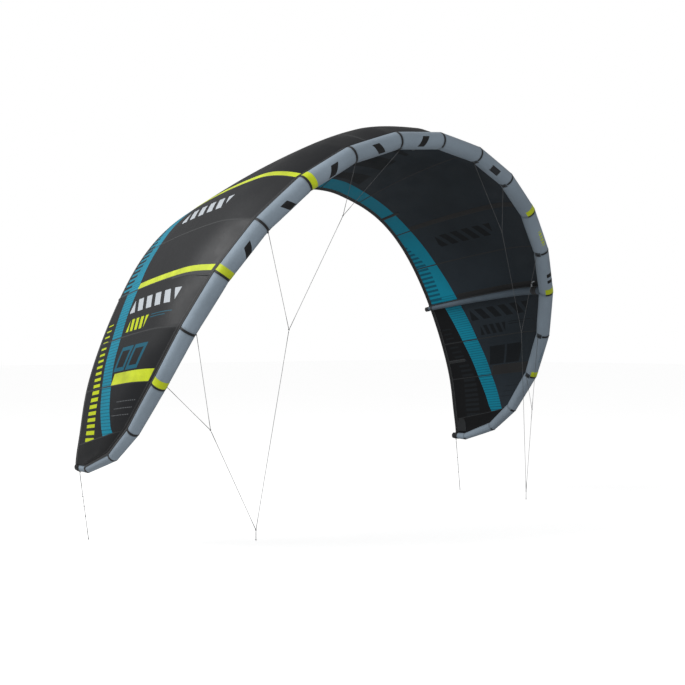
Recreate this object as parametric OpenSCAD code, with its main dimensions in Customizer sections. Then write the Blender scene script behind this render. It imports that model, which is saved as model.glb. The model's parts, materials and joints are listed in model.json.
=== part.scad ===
// Inflatable-leading-edge kitesurf kite, 9 square metre canopy.
// Millimetres. +X along the span, -Y towards the leading edge, +Z up.
// The origin lies in the symmetry plane, on top of the middle of the
// leading-edge tube, where a hanger would hold the kite.

/* [Arc of the wing] */
// Length of each of the seven long tube segments on a side
seg_long = 430; // [420:1:440]
// Length of the eighth tube segment
seg_eight = 410; // [395:1:425]
// Length of the ninth tube segment
seg_nine = 313; // [300:1:325]
// Length of the tenth tube segment
seg_ten = 369; // [355:1:380]
// Length of the last, short tube segment at the wing tip
seg_tip = 150; // [142:1:160]
// Steepest roll of the wing towards the tip, in degrees
roll_end = 85.9; // [84:0.1:87]
// How fast the roll builds up along the arc
roll_power = 1.18; // [1.1:0.02:1.3]
// Arc length at which the steepest roll is reached
roll_reach = 3240; // [3150:10:3330]
// Even part of the sweep of the leading edge, in degrees
sweep_even = 35.8; // [34:0.1:38]
// Extra sweep at the wing tip, in degrees
sweep_tip = 61.5; // [59:0.1:63]
// How late the extra tip sweep starts
sweep_power = 5.85; // [5.4:0.05:6.2]

/* [Leading-edge tube] */
// Diameter of the tube in the middle
tube_centre_d = 126; // [120:1:132]
// Diameter of the tube at the wing tip
tube_tip_d = 50; // [46:1:56]
// How late the tube starts to taper
taper_power = 4; // [3.5:0.1:4.5]
// Thickness of the tube cloth
casing_wall = 1.0; // [0.8:0.1:1.4]
// Thickness of the inner air bladder
bladder_wall = 0.6; // [0.5:0.1:0.8]
// Width of the dark tape over each tube seam
tape_w = 13; // [10:1:16]
// Width of the bright bands beside three seams on a side
accent_w = 50; // [40:1:60]

/* [Canopy] */
// Distance from the tube axis to the trailing edge in the middle
chord_centre = 1375; // [1345:5:1405]
// How much further back the trailing edge lies at the wing tips
te_sweep = 336; // [320:2:350]
// How far the trailing edge hangs below the tube axis in the middle
te_drop = 219; // [200:1:240]
// How far the trailing edge lies inside the arc of the tube at the struts
te_drop_strut = 71; // [55:1:85]
// How much the seams fan out towards the trailing edge
fan_shift = 91; // [75:1:100]
// Height of the canopy curve at the middle of the wing, as a share of the chord
camber_centre = 0.115; // [0.1:0.005:0.13]
// Height of the canopy curve over each strut, as a share of the chord
camber_strut = 0.043; // [0.035:0.001:0.06]
// Height of the canopy curve elsewhere, as a share of the chord
camber_panel = 0.058; // [0.05:0.001:0.07]
// Position of the highest point as a share of the chord
camber_at = 0.27; // [0.25:0.01:0.32]
// Thickness of the canopy cloth, with its coating and seams
cloth_t = 1.2; // [1:0.1:1.6]
// Width of the stitched band along the leading-edge seam
le_hem_w = 26; // [20:1:32]
// Width of the folded band along the trailing edge
te_hem_w = 36; // [28:1:40]

/* [Struts] */
// Diameter of a strut at the leading edge
strut_front_d = 74; // [68:1:80]
// Diameter of a strut at the trailing edge
strut_rear_d = 37; // [32:1:42]
// Outer diameter of the air hose between tube and strut
hose_d = 10; // [9:0.5:11]

/* [Valve] */
// Outer diameter of the valve flange
flange_d = 62; // [58:1:66]
// Diameter of the inflation port
port_d = 19; // [17:0.5:20]
// Height of the valve base above its flange
valve_h = 14; // [12:1:16]

/* [Bridle] */
// Diameter of the bridle lines
line_d = 3; // [2:0.5:4]
// Diameter of the knots where bridle lines meet
knot_d = 12; // [10:1:14]
// Length of a front pigtail
front_tail = 66; // [60:1:80]
// Length of a rear pigtail
rear_tail = 479; // [465:1:486]

/* [Hidden] */
arc_top = -tube_centre_d / 2;
seg_count = 11;
sides = 24;
bladder_sides = 12;
strut_sides = 16;
step_a = 360 / sides;
skin_gap = 0.3;
seam_angle = 45;
tape_from = -150;
tape_to = 30;
tape_t = 0.7;
canopy_end = 10;
chord_parts = 13;
canopy_gap = 1;
strut_ring = 5;
accent_rings = [3, 5, 7];
drop_blend = 0.45;
fade_from = 0.6;
fade_over = 0.3;
sweep_done = 0.556;
lift_from = 0.9;
tip_clear = 8;
strut_reach = 1.6;
centre_reach = 2;
strut_parts = 9;
strut_wall = 0.8;
patch_t = 0.8;
strut_front_in = 42;
strut_past_te = 20;
strut_drop = 4;
tip_rows = [8.75, 9, 9.5, 9.75];
tip_patch_part = 9;
band_gap = 0.01;
band_end = 0.04;
batten_spans = [2.4, 6.5];
batten_half = 0.028;
batten_fill = 0.7;
batten_l = 150;
batten_t = 2.2;
cap_wall = 1.6;
eye_r = 6;
eye_wire_r = 1.5;
eye_gap = 3;
bridle_gap = 2.5;

long_segs = 7;
function seg_len(i) = i <= long_segs ? seg_long : [seg_eight, seg_nine, seg_ten, seg_tip][i - long_segs - 1];
along = [for (i = 0, a = 0; i <= seg_count; a = a + (i < seg_count ? seg_len(i + 1) : 0), i = i + 1) a];
tube_l = along[seg_count];
mid = [for (i = [1 : seg_count]) (along[i] - seg_len(i) / 2) / tube_l];
psi = [for (m = mid) sweep_even * m + sweep_tip * pow(m, sweep_power)];
flat = [for (i = [0 : seg_count - 1]) seg_len(i + 1) * cos(psi[i])];
arc = [for (i = 0, a = 0; i <= seg_count; a = a + (i < seg_count ? flat[i] : 0), i = i + 1) a];
arc_l = arc[seg_count];
function roll_at(s) = roll_end * (1 - pow(max(0, 1 - s / roll_reach), roll_power));
phi = [for (i = [0 : seg_count - 1]) roll_at(arc[i] + flat[i] / 2)];
function seg_step(i) = [flat[i] * cos(phi[i]), seg_len(i + 1) * sin(psi[i]), -flat[i] * sin(phi[i])];
axis_pt = [
    for (i = 0, p = [0, 0, arc_top]; i <= seg_count; p = i < seg_count ? p + seg_step(i) : p, i = i + 1)
        p
];
ring_phi = [for (i = [0 : seg_count]) i == 0 ? 0 : i == seg_count ? phi[i - 1] : (phi[i - 1] + phi[i]) / 2];
ring_psi = [for (i = [0 : seg_count]) i == 0 ? 0 : i == seg_count ? psi[i - 1] : (psi[i - 1] + psi[i]) / 2];
function ring_r(i) = (tube_centre_d - (tube_centre_d - tube_tip_d) * pow(along[i] / tube_l, taper_power)) / 2;

function unit(v) = v / norm(v);
function mirrored(p, side) = [side * p[0], p[1], p[2]];
function out_dir(i) = [sin(ring_phi[i]), 0, cos(ring_phi[i])];
function run_dir(i) = [
    cos(ring_psi[i]) * cos(ring_phi[i]),
    sin(ring_psi[i]),
    -cos(ring_psi[i]) * sin(ring_phi[i])
];
function back_dir(i) = cross(out_dir(i), run_dir(i));
function ring_pt(i, off, a) = axis_pt[i] + (ring_r(i) + off) * (cos(a) * out_dir(i) + sin(a) * back_dir(i));
function low(t) = min(seg_count - 1, floor(abs(t)));
function part_of(t) = abs(t) - low(t);
function blend(p, q, f) = p * (1 - f) + q * f;
function tube_pt(t, off, a) = mirrored(
    blend(ring_pt(low(t), off, a), ring_pt(low(t) + 1, off, a), part_of(t)),
    t < 0 ? -1 : 1
);

// Trailing edge: the arc of the tube, moved in and back.
function arc_index(s) = max([for (i = [0 : seg_count - 1]) arc[i] <= s ? i : 0]);
function arc_part(s) = min(1, (s - arc[arc_index(s)]) / (arc[arc_index(s) + 1] - arc[arc_index(s)]));
function arc_axis(s) = blend(axis_pt[arc_index(s)], axis_pt[arc_index(s) + 1], arc_part(s));
function arc_out(s) = unit(blend(out_dir(arc_index(s)), out_dir(arc_index(s) + 1), arc_part(s)));
function arc_of(t) = blend(arc[low(t)], arc[low(t) + 1], part_of(t));
function smooth(x) = x <= 0 ? 0 : x >= 1 ? 1 : x * x * (3 - 2 * x);
function te_arc(t) = arc_of(t) + fan_shift * sin(180 * pow(arc_of(t) / arc_l, 2));
function te_fade(x) = 1 - smooth((x - fade_from) / fade_over);
function te_in(t) = let (x = arc_of(t) / arc_l)
    blend(te_drop, te_drop_strut, smooth(x / drop_blend)) * te_fade(x);
function te_base(s, t) = arc_axis(s) - te_in(t) * arc_out(s);
function te_back(t) = chord_centre + te_sweep * sin(90 * min(1, te_arc(t) / arc_l / sweep_done));
tip_side = unit(out_dir(seg_count) + back_dir(seg_count));
function te_lift(t) =
    smooth((te_arc(t) / arc_l - lift_from) / (1 - lift_from)) * (ring_r(seg_count) + tip_clear);
function te_raw(t) = let (b = te_base(min(te_arc(t), arc_l), t), c = b + te_lift(t) * tip_side)
    [c[0], te_back(t), c[2]];
function le_raw(t) = blend(
    ring_pt(low(t), 3, seam_angle),
    ring_pt(low(t) + 1, 3, seam_angle),
    part_of(t)
);
function chord(t) = norm(te_raw(t) - le_raw(t));
function hump(u) = u <= camber_at
    ? (2 * camber_at * u - u * u) / (camber_at * camber_at)
    : (1 - 2 * camber_at + 2 * camber_at * u - u * u) / ((1 - camber_at) * (1 - camber_at));
function wing_out(t) = unit(blend(out_dir(low(t)), out_dir(low(t) + 1), part_of(t)));
function near(t, at, reach) = exp(-pow((abs(t) - at) / reach, 2));
function camber(t) = blend(camber_panel, camber_strut, near(t, strut_ring, strut_reach))
    + (camber_centre - camber_panel) * near(t, 0, centre_reach);
function wing_pt(t, u, off) = mirrored(
    le_raw(t) + u * (te_raw(t) - le_raw(t)) + (camber(t) * chord(t) * hump(u) + off) * wing_out(t),
    t < 0 ? -1 : 1
);
function front_share(t, w) = w / chord(t);
function rear_share(t, w) = 1 - w / chord(t);

// A closed solid from a row of loops with the same number of points. The first
// half of a loop is the outer face, the second half the inner face, in reverse.
module skin(loops, joined) {
    n = len(loops);
    m = len(loops[0]);
    last = joined ? n - 1 : n - 2;
    walls = [for (i = [0 : last]) for (j = [0 : m - 1]) for (f = [0, 1])
        let (next_row = ((i + 1) % n) * m, next = (j + 1) % m)
        let (a = i * m + j, b = i * m + next, c = next_row + next, d = next_row + j)
        j < m / 2 ? (f == 0 ? [a, b, c] : [a, c, d]) : (f == 0 ? [a, b, d] : [b, c, d])];
    caps = joined ? [] : [for (e = [0, 1]) for (j = [0 : m / 2 - 2]) for (f = [0, 1])
        let (o = e * (n - 1) * m, a = o + j, b = o + j + 1, c = o + m - 2 - j, d = o + m - 1 - j)
        e == 0 ? (f == 0 ? [a, c, b] : [a, d, c]) : (f == 0 ? [a, b, c] : [a, c, d])];
    polyhedron(points = [for (l = loops) for (p = l) p], faces = concat(walls, caps), convexity = 10);
}

// A hollow sleeve around the leading-edge axis.
module sleeve(stations, outer, inner, count) {
    skin([for (j = [0 : count - 1]) let (a = -j * 360 / count) concat(
        [for (t = stations) tube_pt(t, outer, a)],
        [for (k = [len(stations) - 1 : -1 : 0]) tube_pt(stations[k], inner, a)]
    )], true);
}

// A curved patch lying on the leading-edge tube.
module tube_patch(stations, from_a, to_a, inner, outer) {
    n = round((to_a - from_a) / step_a);
    skin([for (j = [0 : n]) let (a = to_a - j * step_a) concat(
        [for (t = stations) tube_pt(t, outer, a)],
        [for (k = [len(stations) - 1 : -1 : 0]) tube_pt(stations[k], inner, a)]
    )], false);
}

// A strip of cloth following the canopy: one row of shares of the chord per station.
module cloth(stations, shares, base, top) {
    skin([for (i = [0 : len(stations) - 1]) concat(
        [for (u = shares[i]) wing_pt(stations[i], u, top)],
        [for (k = [len(shares[i]) - 1 : -1 : 0]) wing_pt(stations[i], shares[i][k], base)]
    )], false);
}

// The canopy's rows: every half seam, and the edges of all that is sewn onto it.
function sorted(v) = len(v) < 2 ? v : let (p = v[0], rest = [for (k = [1 : len(v) - 1]) v[k]])
    concat(sorted([for (x = rest) if (x < p) x]), [p], sorted([for (x = rest) if (x > p) x]));
band_span = accent_w / seg_long;
function band_rows(i) = [i - band_span - band_gap, i - band_gap];
function batten_rows(s) = [s - batten_half * batten_fill, s + batten_half * batten_fill];
function pocket_rows(s) = concat([s - batten_half], batten_rows(s), [s + batten_half]);
half_rows = sorted(concat(
    [for (k = [0 : 2 * canopy_end]) k / 2],
    [for (i = accent_rings) for (t = band_rows(i)) t],
    [for (s = batten_spans) for (t = pocket_rows(s)) t],
    tip_rows
));
function on_side(rows, side) = side > 0 ? rows : [for (k = [len(rows) - 1 : -1 : 0]) -rows[k]];
wing_rows = concat(on_side([for (k = [1 : len(half_rows) - 1]) half_rows[k]], -1), half_rows);

// The canopy's chordwise lines, counted from the front, and points between them.
function line_share(t, k) = blend(
    front_share(t, le_hem_w + canopy_gap),
    rear_share(t, te_hem_w + canopy_gap),
    k / chord_parts
);
function facet_pt(t, k, off) = let (j = min(chord_parts - 1, floor(k)))
    blend(wing_pt(t, line_share(t, j), off), wing_pt(t, line_share(t, j + 1), off), k - j);
function line_at(t, w) = (rear_share(t, w) - line_share(t, 0)) / (line_share(t, 1) - line_share(t, 0));
function lines_between(a, b) = concat([a], [for (j = [floor(a) + 1 : ceil(b) - 1]) j], [b]);

// A strip sewn onto the canopy: one list of chordwise lines per row.
module sewn(rows, lines, base, top) {
    skin([for (i = [0 : len(rows) - 1]) concat(
        [for (k = lines[i]) facet_pt(rows[i], k, top)],
        [for (j = [len(lines[i]) - 1 : -1 : 0]) facet_pt(rows[i], lines[i][j], base)]
    )], false);
}

// Places a child with its own Z axis along a direction.
module aim(p, dir) {
    d = unit(dir);
    tilt = acos(max(-1, min(1, d[2])));
    turn = norm([d[0], d[1]]) < 0.000001 ? 0 : atan2(d[1], d[0]);
    translate(p) rotate([0, 0, turn]) rotate([0, tilt, 0]) children();
}

// Places a child with its X and Z axes along two directions square to each other.
module place(p, x_dir, z_dir) {
    tilt = acos(max(-1, min(1, z_dir[2])));
    turn = atan2(z_dir[1], z_dir[0]);
    level_x = [cos(turn) * cos(tilt), sin(turn) * cos(tilt), -sin(tilt)];
    level_y = [-sin(turn), cos(turn), 0];
    translate(p) rotate([0, 0, turn]) rotate([0, tilt, 0])
        rotate([0, 0, atan2(x_dir * level_y, x_dir * level_x)]) children();
}
module cord(p, q, d, lead, tail) {
    v = unit(q - p);
    aim(p + lead * v, v) cylinder(h = norm(q - p) - lead - tail, d = d, $fn = 24);
}
module wire_ring(p, normal) {
    aim(p, normal) rotate_extrude($fn = 36) translate([eye_r, 0]) circle(r = eye_wire_r, $fn = 16);
}
module both_sides() {
    children();
    mirror([1, 0, 0]) children();
}

// ---- leading edge ----
module le_casing() {
    color([0.56, 0.64, 0.73]) sleeve([for (i = [-seg_count : seg_count]) i], 0, -casing_wall, sides);
}
bladder_out = -casing_wall - 1.4;
bladder_stations = [for (i = [-seg_count : seg_count]) abs(i) == seg_count ? sign(i) * (seg_count - 0.3) : i];
module le_bladder() {
    color([0.86, 0.88, 0.9]) sleeve(bladder_stations, bladder_out, bladder_out - bladder_wall, bladder_sides);
}
tape_half = tape_w / 2 / seg_long;
module le_seam_tapes() {
    color([0.07, 0.08, 0.1]) for (i = [1 - seg_count : seg_count - 1])
        tube_patch([i - tape_half, i, i + tape_half], tape_from, tape_to, skin_gap, skin_gap + tape_t);
}
module le_accent_bands() {
    e = tape_half + 2 / seg_long;
    color([0.8, 0.92, 0.05]) both_sides() for (i = accent_rings)
        tube_patch([i - e - band_span, i - e], tape_from, tape_to, skin_gap, skin_gap + tape_t);
}
cap_l = 62;
tip_axis = run_dir(seg_count);
tip_r = ring_r(seg_count);
cap_r = ring_r(seg_count) + (ring_r(seg_count - 1) - ring_r(seg_count)) * cap_l / seg_tip + 1.2;
module tip_cap() {
    aim(axis_pt[seg_count] - cap_l * tip_axis, tip_axis) difference() {
        union() {
            cylinder(h = cap_l + 2, r1 = cap_r + cap_wall, r2 = tip_r + 1.2 + cap_wall, $fn = 48);
            translate([0, 0, cap_l + 2])
                cylinder(h = 7, r1 = tip_r + 1.2 + cap_wall, r2 = tip_r - 8, $fn = 48);
        }
        translate([0, 0, -1]) cylinder(h = cap_l + 2, r1 = cap_r, r2 = tip_r + 1.2, $fn = 48);
    }
}
module tip_cap_right() {
    color([0.05, 0.05, 0.06]) tip_cap();
}
module tip_cap_left() {
    color([0.05, 0.05, 0.06]) mirror([1, 0, 0]) tip_cap();
}
module le_label() {
    color([0.12, 0.14, 0.18]) tube_patch([1.36, 1.62], -150, -105, skin_gap, skin_gap + tape_t);
}

// ---- canopy ----
module canopy() {
    color([0.13, 0.15, 0.19]) cloth(
        wing_rows,
        [for (t = wing_rows) [for (k = [0 : chord_parts]) line_share(t, k)]],
        -cloth_t / 2, cloth_t / 2
    );
}
le_hem_extra = 0.3;
te_hem_extra = 0.4;
module le_hem() {
    half = cloth_t / 2 + le_hem_extra;
    color([0.04, 0.04, 0.05])
        cloth(wing_rows, [for (t = wing_rows) [0, front_share(t, le_hem_w)]], -half, half);
}
module te_hem() {
    half = cloth_t / 2 + te_hem_extra;
    color([0.04, 0.04, 0.05])
        cloth(wing_rows, [for (t = wing_rows) [rear_share(t, te_hem_w), 1]], -half, half);
}
face_gap = cloth_t / 2 + skin_gap;
strip_t = 0.6;
module chord_bands() {
    color([0.8, 0.92, 0.05]) for (side = [-1, 1]) for (i = accent_rings) {
        rows = on_side(band_rows(i), side);
        lines = lines_between(band_end, chord_parts - band_end);
        sewn(rows, [for (t = rows) lines], face_gap, face_gap + strip_t);
    }
}
module batten_pockets() {
    top = -face_gap - batten_t - 2 * skin_gap;
    color([0.05, 0.05, 0.06]) for (side = [-1, 1]) for (s = batten_spans) {
        rows = on_side(pocket_rows(s), side);
        front = te_hem_w + batten_l + 8;
        sewn(
            rows,
            [for (t = rows) lines_between(line_at(t, front), line_at(t, te_hem_w + 4))],
            top - patch_t,
            top
        );
    }
}
module battens() {
    color([0.75, 0.76, 0.72]) for (side = [-1, 1]) for (s = batten_spans) {
        rows = on_side(batten_rows(s), side);
        front = te_hem_w + batten_l;
        sewn(
            rows,
            [for (t = rows) lines_between(line_at(t, front), line_at(t, te_hem_w + 10))],
            -face_gap - batten_t, -face_gap
        );
    }
}
module tip_patches() {
    color([0.05, 0.05, 0.06]) for (side = [-1, 1]) {
        rows = on_side(tip_rows, side);
        lines = lines_between(tip_patch_part, chord_parts - band_end);
        sewn(rows, [for (t = rows) lines], -face_gap - strip_t, -face_gap);
    }
}

// ---- struts ----
function strut_r(f) = (strut_front_d + (strut_rear_d - strut_front_d) * f) / 2;
function strut_share(f) =
    blend(front_share(strut_ring, strut_front_in), rear_share(strut_ring, -strut_past_te), f);
function strut_axis(f) = wing_pt(strut_ring, strut_share(f), -face_gap - strut_drop - strut_r(f));
function strut_dir(f) = unit(strut_axis(min(1, f + 0.03)) - strut_axis(max(0, f - 0.03)));
strut_side = unit(cross(wing_out(strut_ring), [0, 1, 0]));
function strut_up(f) = cross(strut_dir(f), strut_side);
function strut_pt(f, off, a) = strut_axis(f)
    + (strut_r(f) + off) * (cos(a) * strut_side + sin(a) * strut_up(f));
function strut_facet(f, off, a) = let (k = min(strut_parts - 1, floor(f * strut_parts)))
    blend(strut_pt(k / strut_parts, off, a), strut_pt((k + 1) / strut_parts, off, a), f * strut_parts - k);
module strut_sleeve(from_f, to_f, outer, inner, count) {
    stops = [for (k = [1 : strut_parts - 1]) if (k / strut_parts < to_f) k / strut_parts];
    rows = concat([from_f], stops, [to_f]);
    skin([for (j = [0 : count - 1]) let (a = j * 360 / count) concat(
        [for (f = rows) strut_facet(f, outer, a)],
        [for (k = [len(rows) - 1 : -1 : 0]) strut_facet(rows[k], inner, a)]
    )], true);
}
module strut_casing_right() {
    color([0.5, 0.58, 0.66]) strut_sleeve(0, 1, 0, -strut_wall, strut_sides);
}
module strut_casing_left() {
    color([0.5, 0.58, 0.66]) mirror([1, 0, 0]) strut_sleeve(0, 1, 0, -strut_wall, strut_sides);
}
module strut_bladder_right() {
    color([0.86, 0.88, 0.9]) strut_sleeve(0.012, 0.99, -2.4, -2.4 - bladder_wall, bladder_sides);
}
module strut_bladder_left() {
    color([0.86, 0.88, 0.9]) mirror([1, 0, 0])
        strut_sleeve(0.012, 0.99, -2.4, -2.4 - bladder_wall, bladder_sides);
}
strut_cap_l = 34;
module strut_cap() {
    r = strut_r(1) + 1.6;
    aim(strut_axis(1) - (strut_cap_l - 6) * strut_dir(1), strut_dir(1)) difference() {
        union() {
            cylinder(h = strut_cap_l, r = r + 1.2, $fn = 48);
            translate([0, 0, strut_cap_l]) cylinder(h = 6, r1 = r + 1.2, r2 = r - 6, $fn = 48);
        }
        translate([0, 0, -1]) cylinder(h = strut_cap_l - 2, r = r, $fn = 48);
    }
}
module strut_end_cap_right() {
    color([0.05, 0.05, 0.06]) strut_cap();
}
module strut_end_cap_left() {
    color([0.05, 0.05, 0.06]) mirror([1, 0, 0]) strut_cap();
}
module strut_collars() {
    color([0.09, 0.1, 0.13]) both_sides()
        strut_sleeve(0.004, 0.055, skin_gap + patch_t, skin_gap, strut_sides);
}

// ---- air hose with its clip, between tube and strut ----
hose_bend = 52;
hose_ring = hose_d / 2;
hose_wall = 1.6;
hose_x = -strut_side[0] > 0 ? strut_side : -strut_side;
hose_z = unit(cross(hose_x, strut_dir(0.03)));
hose_y = cross(hose_z, hose_x);
hose_centre = strut_axis(0) + (strut_r(0) + 4) * hose_x - 10 * strut_up(0) + 6 * hose_y;
module hose() {
    place(hose_centre, hose_x, hose_z) rotate_extrude(angle = 90, $fn = 72)
        translate([hose_bend, 0]) difference() {
            circle(r = hose_ring, $fn = 24);
            circle(r = hose_ring - hose_wall, $fn = 24);
        }
}
module hose_right() {
    color([0.7, 0.72, 0.74]) hose();
}
module hose_left() {
    color([0.7, 0.72, 0.74]) mirror([1, 0, 0]) hose();
}

// The clip squeezes the hose; its lever turns about a pin across the frame.
clip_w = 11;
clip_l = 34;
clip_t = 3;
clip_pin_r = 1.5;
clip_pin_y = 12;
clip_pin_z = 1.5;
clip_half = hose_ring + 0.6;
cheek_w = 7;
cheek_t = 2.5;
cheek_up = 5;
stop_t = 3;
lever_w = 5.2;
lever_nose = 4;
lever_heel = 3;
pin_play = 0.06;
module clip_frame() {
    place(hose_centre, hose_x, hose_z) rotate([0, 0, 45]) translate([hose_bend, 0, 0]) children();
}
module clip_body() {
    clip_frame() difference() {
        union() {
            translate([-clip_l / 2, -clip_w / 2, -clip_half - clip_t]) cube([clip_l, clip_w, clip_t]);
            for (s = [-1, 1])
                translate([clip_pin_y, s * (clip_w - cheek_t) / 2, (clip_t + cheek_up) / 2 - clip_t])
                    cube([cheek_w, cheek_t, 2 * clip_half + clip_t + cheek_up], center = true);
            translate([-clip_l / 2, -clip_w / 2, -clip_half - clip_t])
                cube([stop_t, clip_w, 2 * clip_half + clip_t - 2]);
        }
        translate([clip_pin_y, clip_w, clip_half + clip_pin_z]) rotate([90, 0, 0])
            cylinder(h = 2 * clip_w, r = clip_pin_r + pin_play, $fn = 32);
    }
}
module clip_lever() {
    clip_frame() {
        translate([-clip_l / 2 - lever_nose, -lever_w / 2, clip_half])
            cube([clip_l / 2 + clip_pin_y + lever_nose + lever_heel, lever_w, clip_t]);
        translate([clip_pin_y, clip_w / 2 + 1, clip_half + clip_pin_z]) rotate([90, 0, 0])
            cylinder(h = clip_w + 2, r = clip_pin_r, $fn = 32);
    }
}
module clip_body_right() {
    color([0.08, 0.08, 0.09]) clip_body();
}
module clip_body_left() {
    color([0.08, 0.08, 0.09]) mirror([1, 0, 0]) clip_body();
}
module clip_lever_right() {
    color([0.14, 0.14, 0.15]) clip_lever();
}
module clip_lever_left() {
    color([0.14, 0.14, 0.15]) mirror([1, 0, 0]) clip_lever();
}

// ---- inflation valve, on the rear of the tube left of the middle ----
valve_t = -0.5;
valve_a = 120;
valve_seat = 2.2;
valve_p = tube_pt(valve_t, valve_seat, valve_a);
valve_n = unit(tube_pt(valve_t, 10, valve_a) - tube_pt(valve_t, 0, valve_a));
valve_run = tube_pt(valve_t + 0.1, 0, valve_a) - tube_pt(valve_t, 0, valve_a);
valve_x = cross(unit(cross(valve_n, valve_run)), valve_n);
insert_r = 19;
insert_play = 0.08;
base_wall = 3.5;
base_floor = 3;
base_lip = 5;
patch_plate_t = 2.4;
insert_gap = 0.3;
insert_z = base_floor + insert_gap;
neck_z = valve_h + 0.5;
rim_t = 3;
rim_over = 3;
seat_r = 11.2;
seat_gap = 0.2;
seat_play = 0.4;
cap_gap = 0.4;
lid_z = neck_z + rim_t + cap_gap;
lid_r = 14.5;
lid_t = 3;
arm_half = 5.4;
arm_from = 6;
arm_t = 2.4;
ear_at = 8;
ear_w = 4;
ear_l = 9;
ear_h = 6.5;
cap_hinge_y = 21;
pin_z = valve_h + 5;
lid_pin_r = 1.2;
knuckle_r = 1.35;
pull_w = 6;
pull_l = 7;
module valve_frame() {
    place(valve_p, valve_x, valve_n) children();
}
module valve_patch() {
    color([0.2, 0.23, 0.28])
        tube_patch([valve_t - 0.12, valve_t + 0.12], 90, 150, skin_gap, skin_gap + 1);
}
module valve_base() {
    color([0.1, 0.1, 0.11]) valve_frame() difference() {
        union() {
            cylinder(h = patch_plate_t, d = flange_d, $fn = 64);
            cylinder(h = valve_h, r = insert_r + base_wall, $fn = 64);
        }
        translate([0, 0, base_floor]) cylinder(h = valve_h, r = insert_r + insert_play, $fn = 64);
        translate([0, 0, -1]) cylinder(h = base_floor + 2, r = insert_r - base_lip, $fn = 64);
    }
}
// The port is a straight bore that opens into a wider seat for the lid's plug.
module valve_insert() {
    color([0.55, 0.57, 0.6]) valve_frame() difference() {
        union() {
            translate([0, 0, insert_z]) cylinder(h = neck_z + 1 - insert_z, r = insert_r, $fn = 64);
            translate([0, 0, neck_z]) cylinder(h = rim_t, r = insert_r + rim_over, $fn = 64);
            for (k = [-1, 1])
                translate([k * ear_at - ear_w / 2, cap_hinge_y - ear_l + ear_w, neck_z])
                    cube([ear_w, ear_l, ear_h]);
        }
        cylinder(h = valve_h + 10, d = port_d, $fn = 64);
        translate([0, 0, neck_z]) cylinder(h = rim_t + 1, r = seat_r, $fn = 64);
        translate([-insert_r, cap_hinge_y, pin_z]) rotate([0, 90, 0])
            cylinder(h = 2 * insert_r, r = lid_pin_r + pin_play, $fn = 32);
    }
}
module valve_cap() {
    color([0.12, 0.12, 0.13]) valve_frame() {
        translate([0, 0, lid_z]) cylinder(h = lid_t, r = lid_r, $fn = 64);
        translate([0, 0, neck_z + seat_gap])
            cylinder(h = lid_z + 1 - neck_z - seat_gap, r = seat_r - seat_play, $fn = 64);
        translate([-arm_half, arm_from, lid_z]) cube([2 * arm_half, cap_hinge_y - arm_from, arm_t]);
        translate([-arm_half, cap_hinge_y, pin_z]) rotate([0, 90, 0])
            cylinder(h = 2 * arm_half, r = knuckle_r, $fn = 32);
        translate([-11, cap_hinge_y, pin_z]) rotate([0, 90, 0])
            cylinder(h = 22, r = lid_pin_r, $fn = 32);
        translate([-pull_w / 2, -lid_r - pull_l / 2, lid_z]) cube([pull_w, pull_l, arm_t]);
    }
}

// ---- pump leash loop beside the valve ----
leash_t = -0.82;
leash_p = tube_pt(leash_t, 8.5, valve_a);
leash_n = unit(tube_pt(leash_t, 10, valve_a) - tube_pt(leash_t, 0, valve_a));
leash_x = cross(unit(cross(leash_n, valve_x)), leash_n);
module leash_frame() {
    place(leash_p, leash_x, leash_n) children();
}
module leash_anchor() {
    color([0.06, 0.06, 0.07]) leash_frame() {
        translate([-14, -9, -7]) cube([28, 18, 1.6]);
        for (k = [-1, 1]) difference() {
            translate([k * 11 - 1.5, -4, -5.4]) cube([3, 8, 9]);
            translate([-20, 0, 0]) rotate([0, 90, 0]) cylinder(h = 40, r = 2 + pin_play, $fn = 32);
        }
    }
}
module leash_loop() {
    color([0.15, 0.15, 0.17]) leash_frame() {
        translate([-13.5, 0, 0]) rotate([0, 90, 0]) cylinder(h = 27, r = 2, $fn = 32);
        for (k = [-1, 1])
            translate([k * 6 - 1.5, -1.5, 0]) cube([3, 3, 22]);
        translate([-7.5, -1.5, 19]) cube([15, 3, 3]);
    }
}

// ---- bridle ----
// Junctions of the bridle lines on the right-hand side.
join_front = [853, 113, arc_top - 612];
join_mid = [1242, 230, arc_top - 1410];
join_low = [1708, 488, arc_top - 2084];
foot_x = 1440;
foot_z = arc_top - 2831 + front_tail;
foot_y = join_mid[1] + (foot_x - join_mid[0]) * (join_low[1] - join_mid[1]) / (join_low[0] - join_mid[0]);
foot = [foot_x, foot_y, foot_z];
eye_rings = [1, 2, 4, 6, 7];
function eye_pt(i) = ring_pt(i, eye_gap + eye_r + eye_wire_r, 180);
function eye_low(i) = ring_pt(i, eye_gap + eye_r + eye_wire_r + eye_r, 180);
module bridle_tabs() {
    for (i = eye_rings) wire_ring(eye_pt(i), back_dir(i));
}
module bridle_tabs_right() {
    color([0.08, 0.08, 0.09]) bridle_tabs();
}
module bridle_tabs_left() {
    color([0.08, 0.08, 0.09]) mirror([1, 0, 0]) bridle_tabs();
}
eye_lead = eye_wire_r + 2.5;
knot_end = knot_d / 2 + 0.4;
module bridle_upper() {
    cord(eye_low(1), join_front, line_d, eye_lead, knot_end);
    cord(eye_low(2), join_front, line_d, eye_lead, knot_end);
    cord(join_front, join_mid, line_d, knot_end, knot_end);
    cord(eye_low(4), join_mid, line_d, eye_lead, knot_end);
    cord(eye_low(6), join_low, line_d, eye_lead, knot_end);
    cord(eye_low(7), join_low, line_d, eye_lead, knot_end);
}
module bridle_upper_right() {
    color([0.72, 0.74, 0.76]) bridle_upper();
}
module bridle_upper_left() {
    color([0.72, 0.74, 0.76]) mirror([1, 0, 0]) bridle_upper();
}
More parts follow.
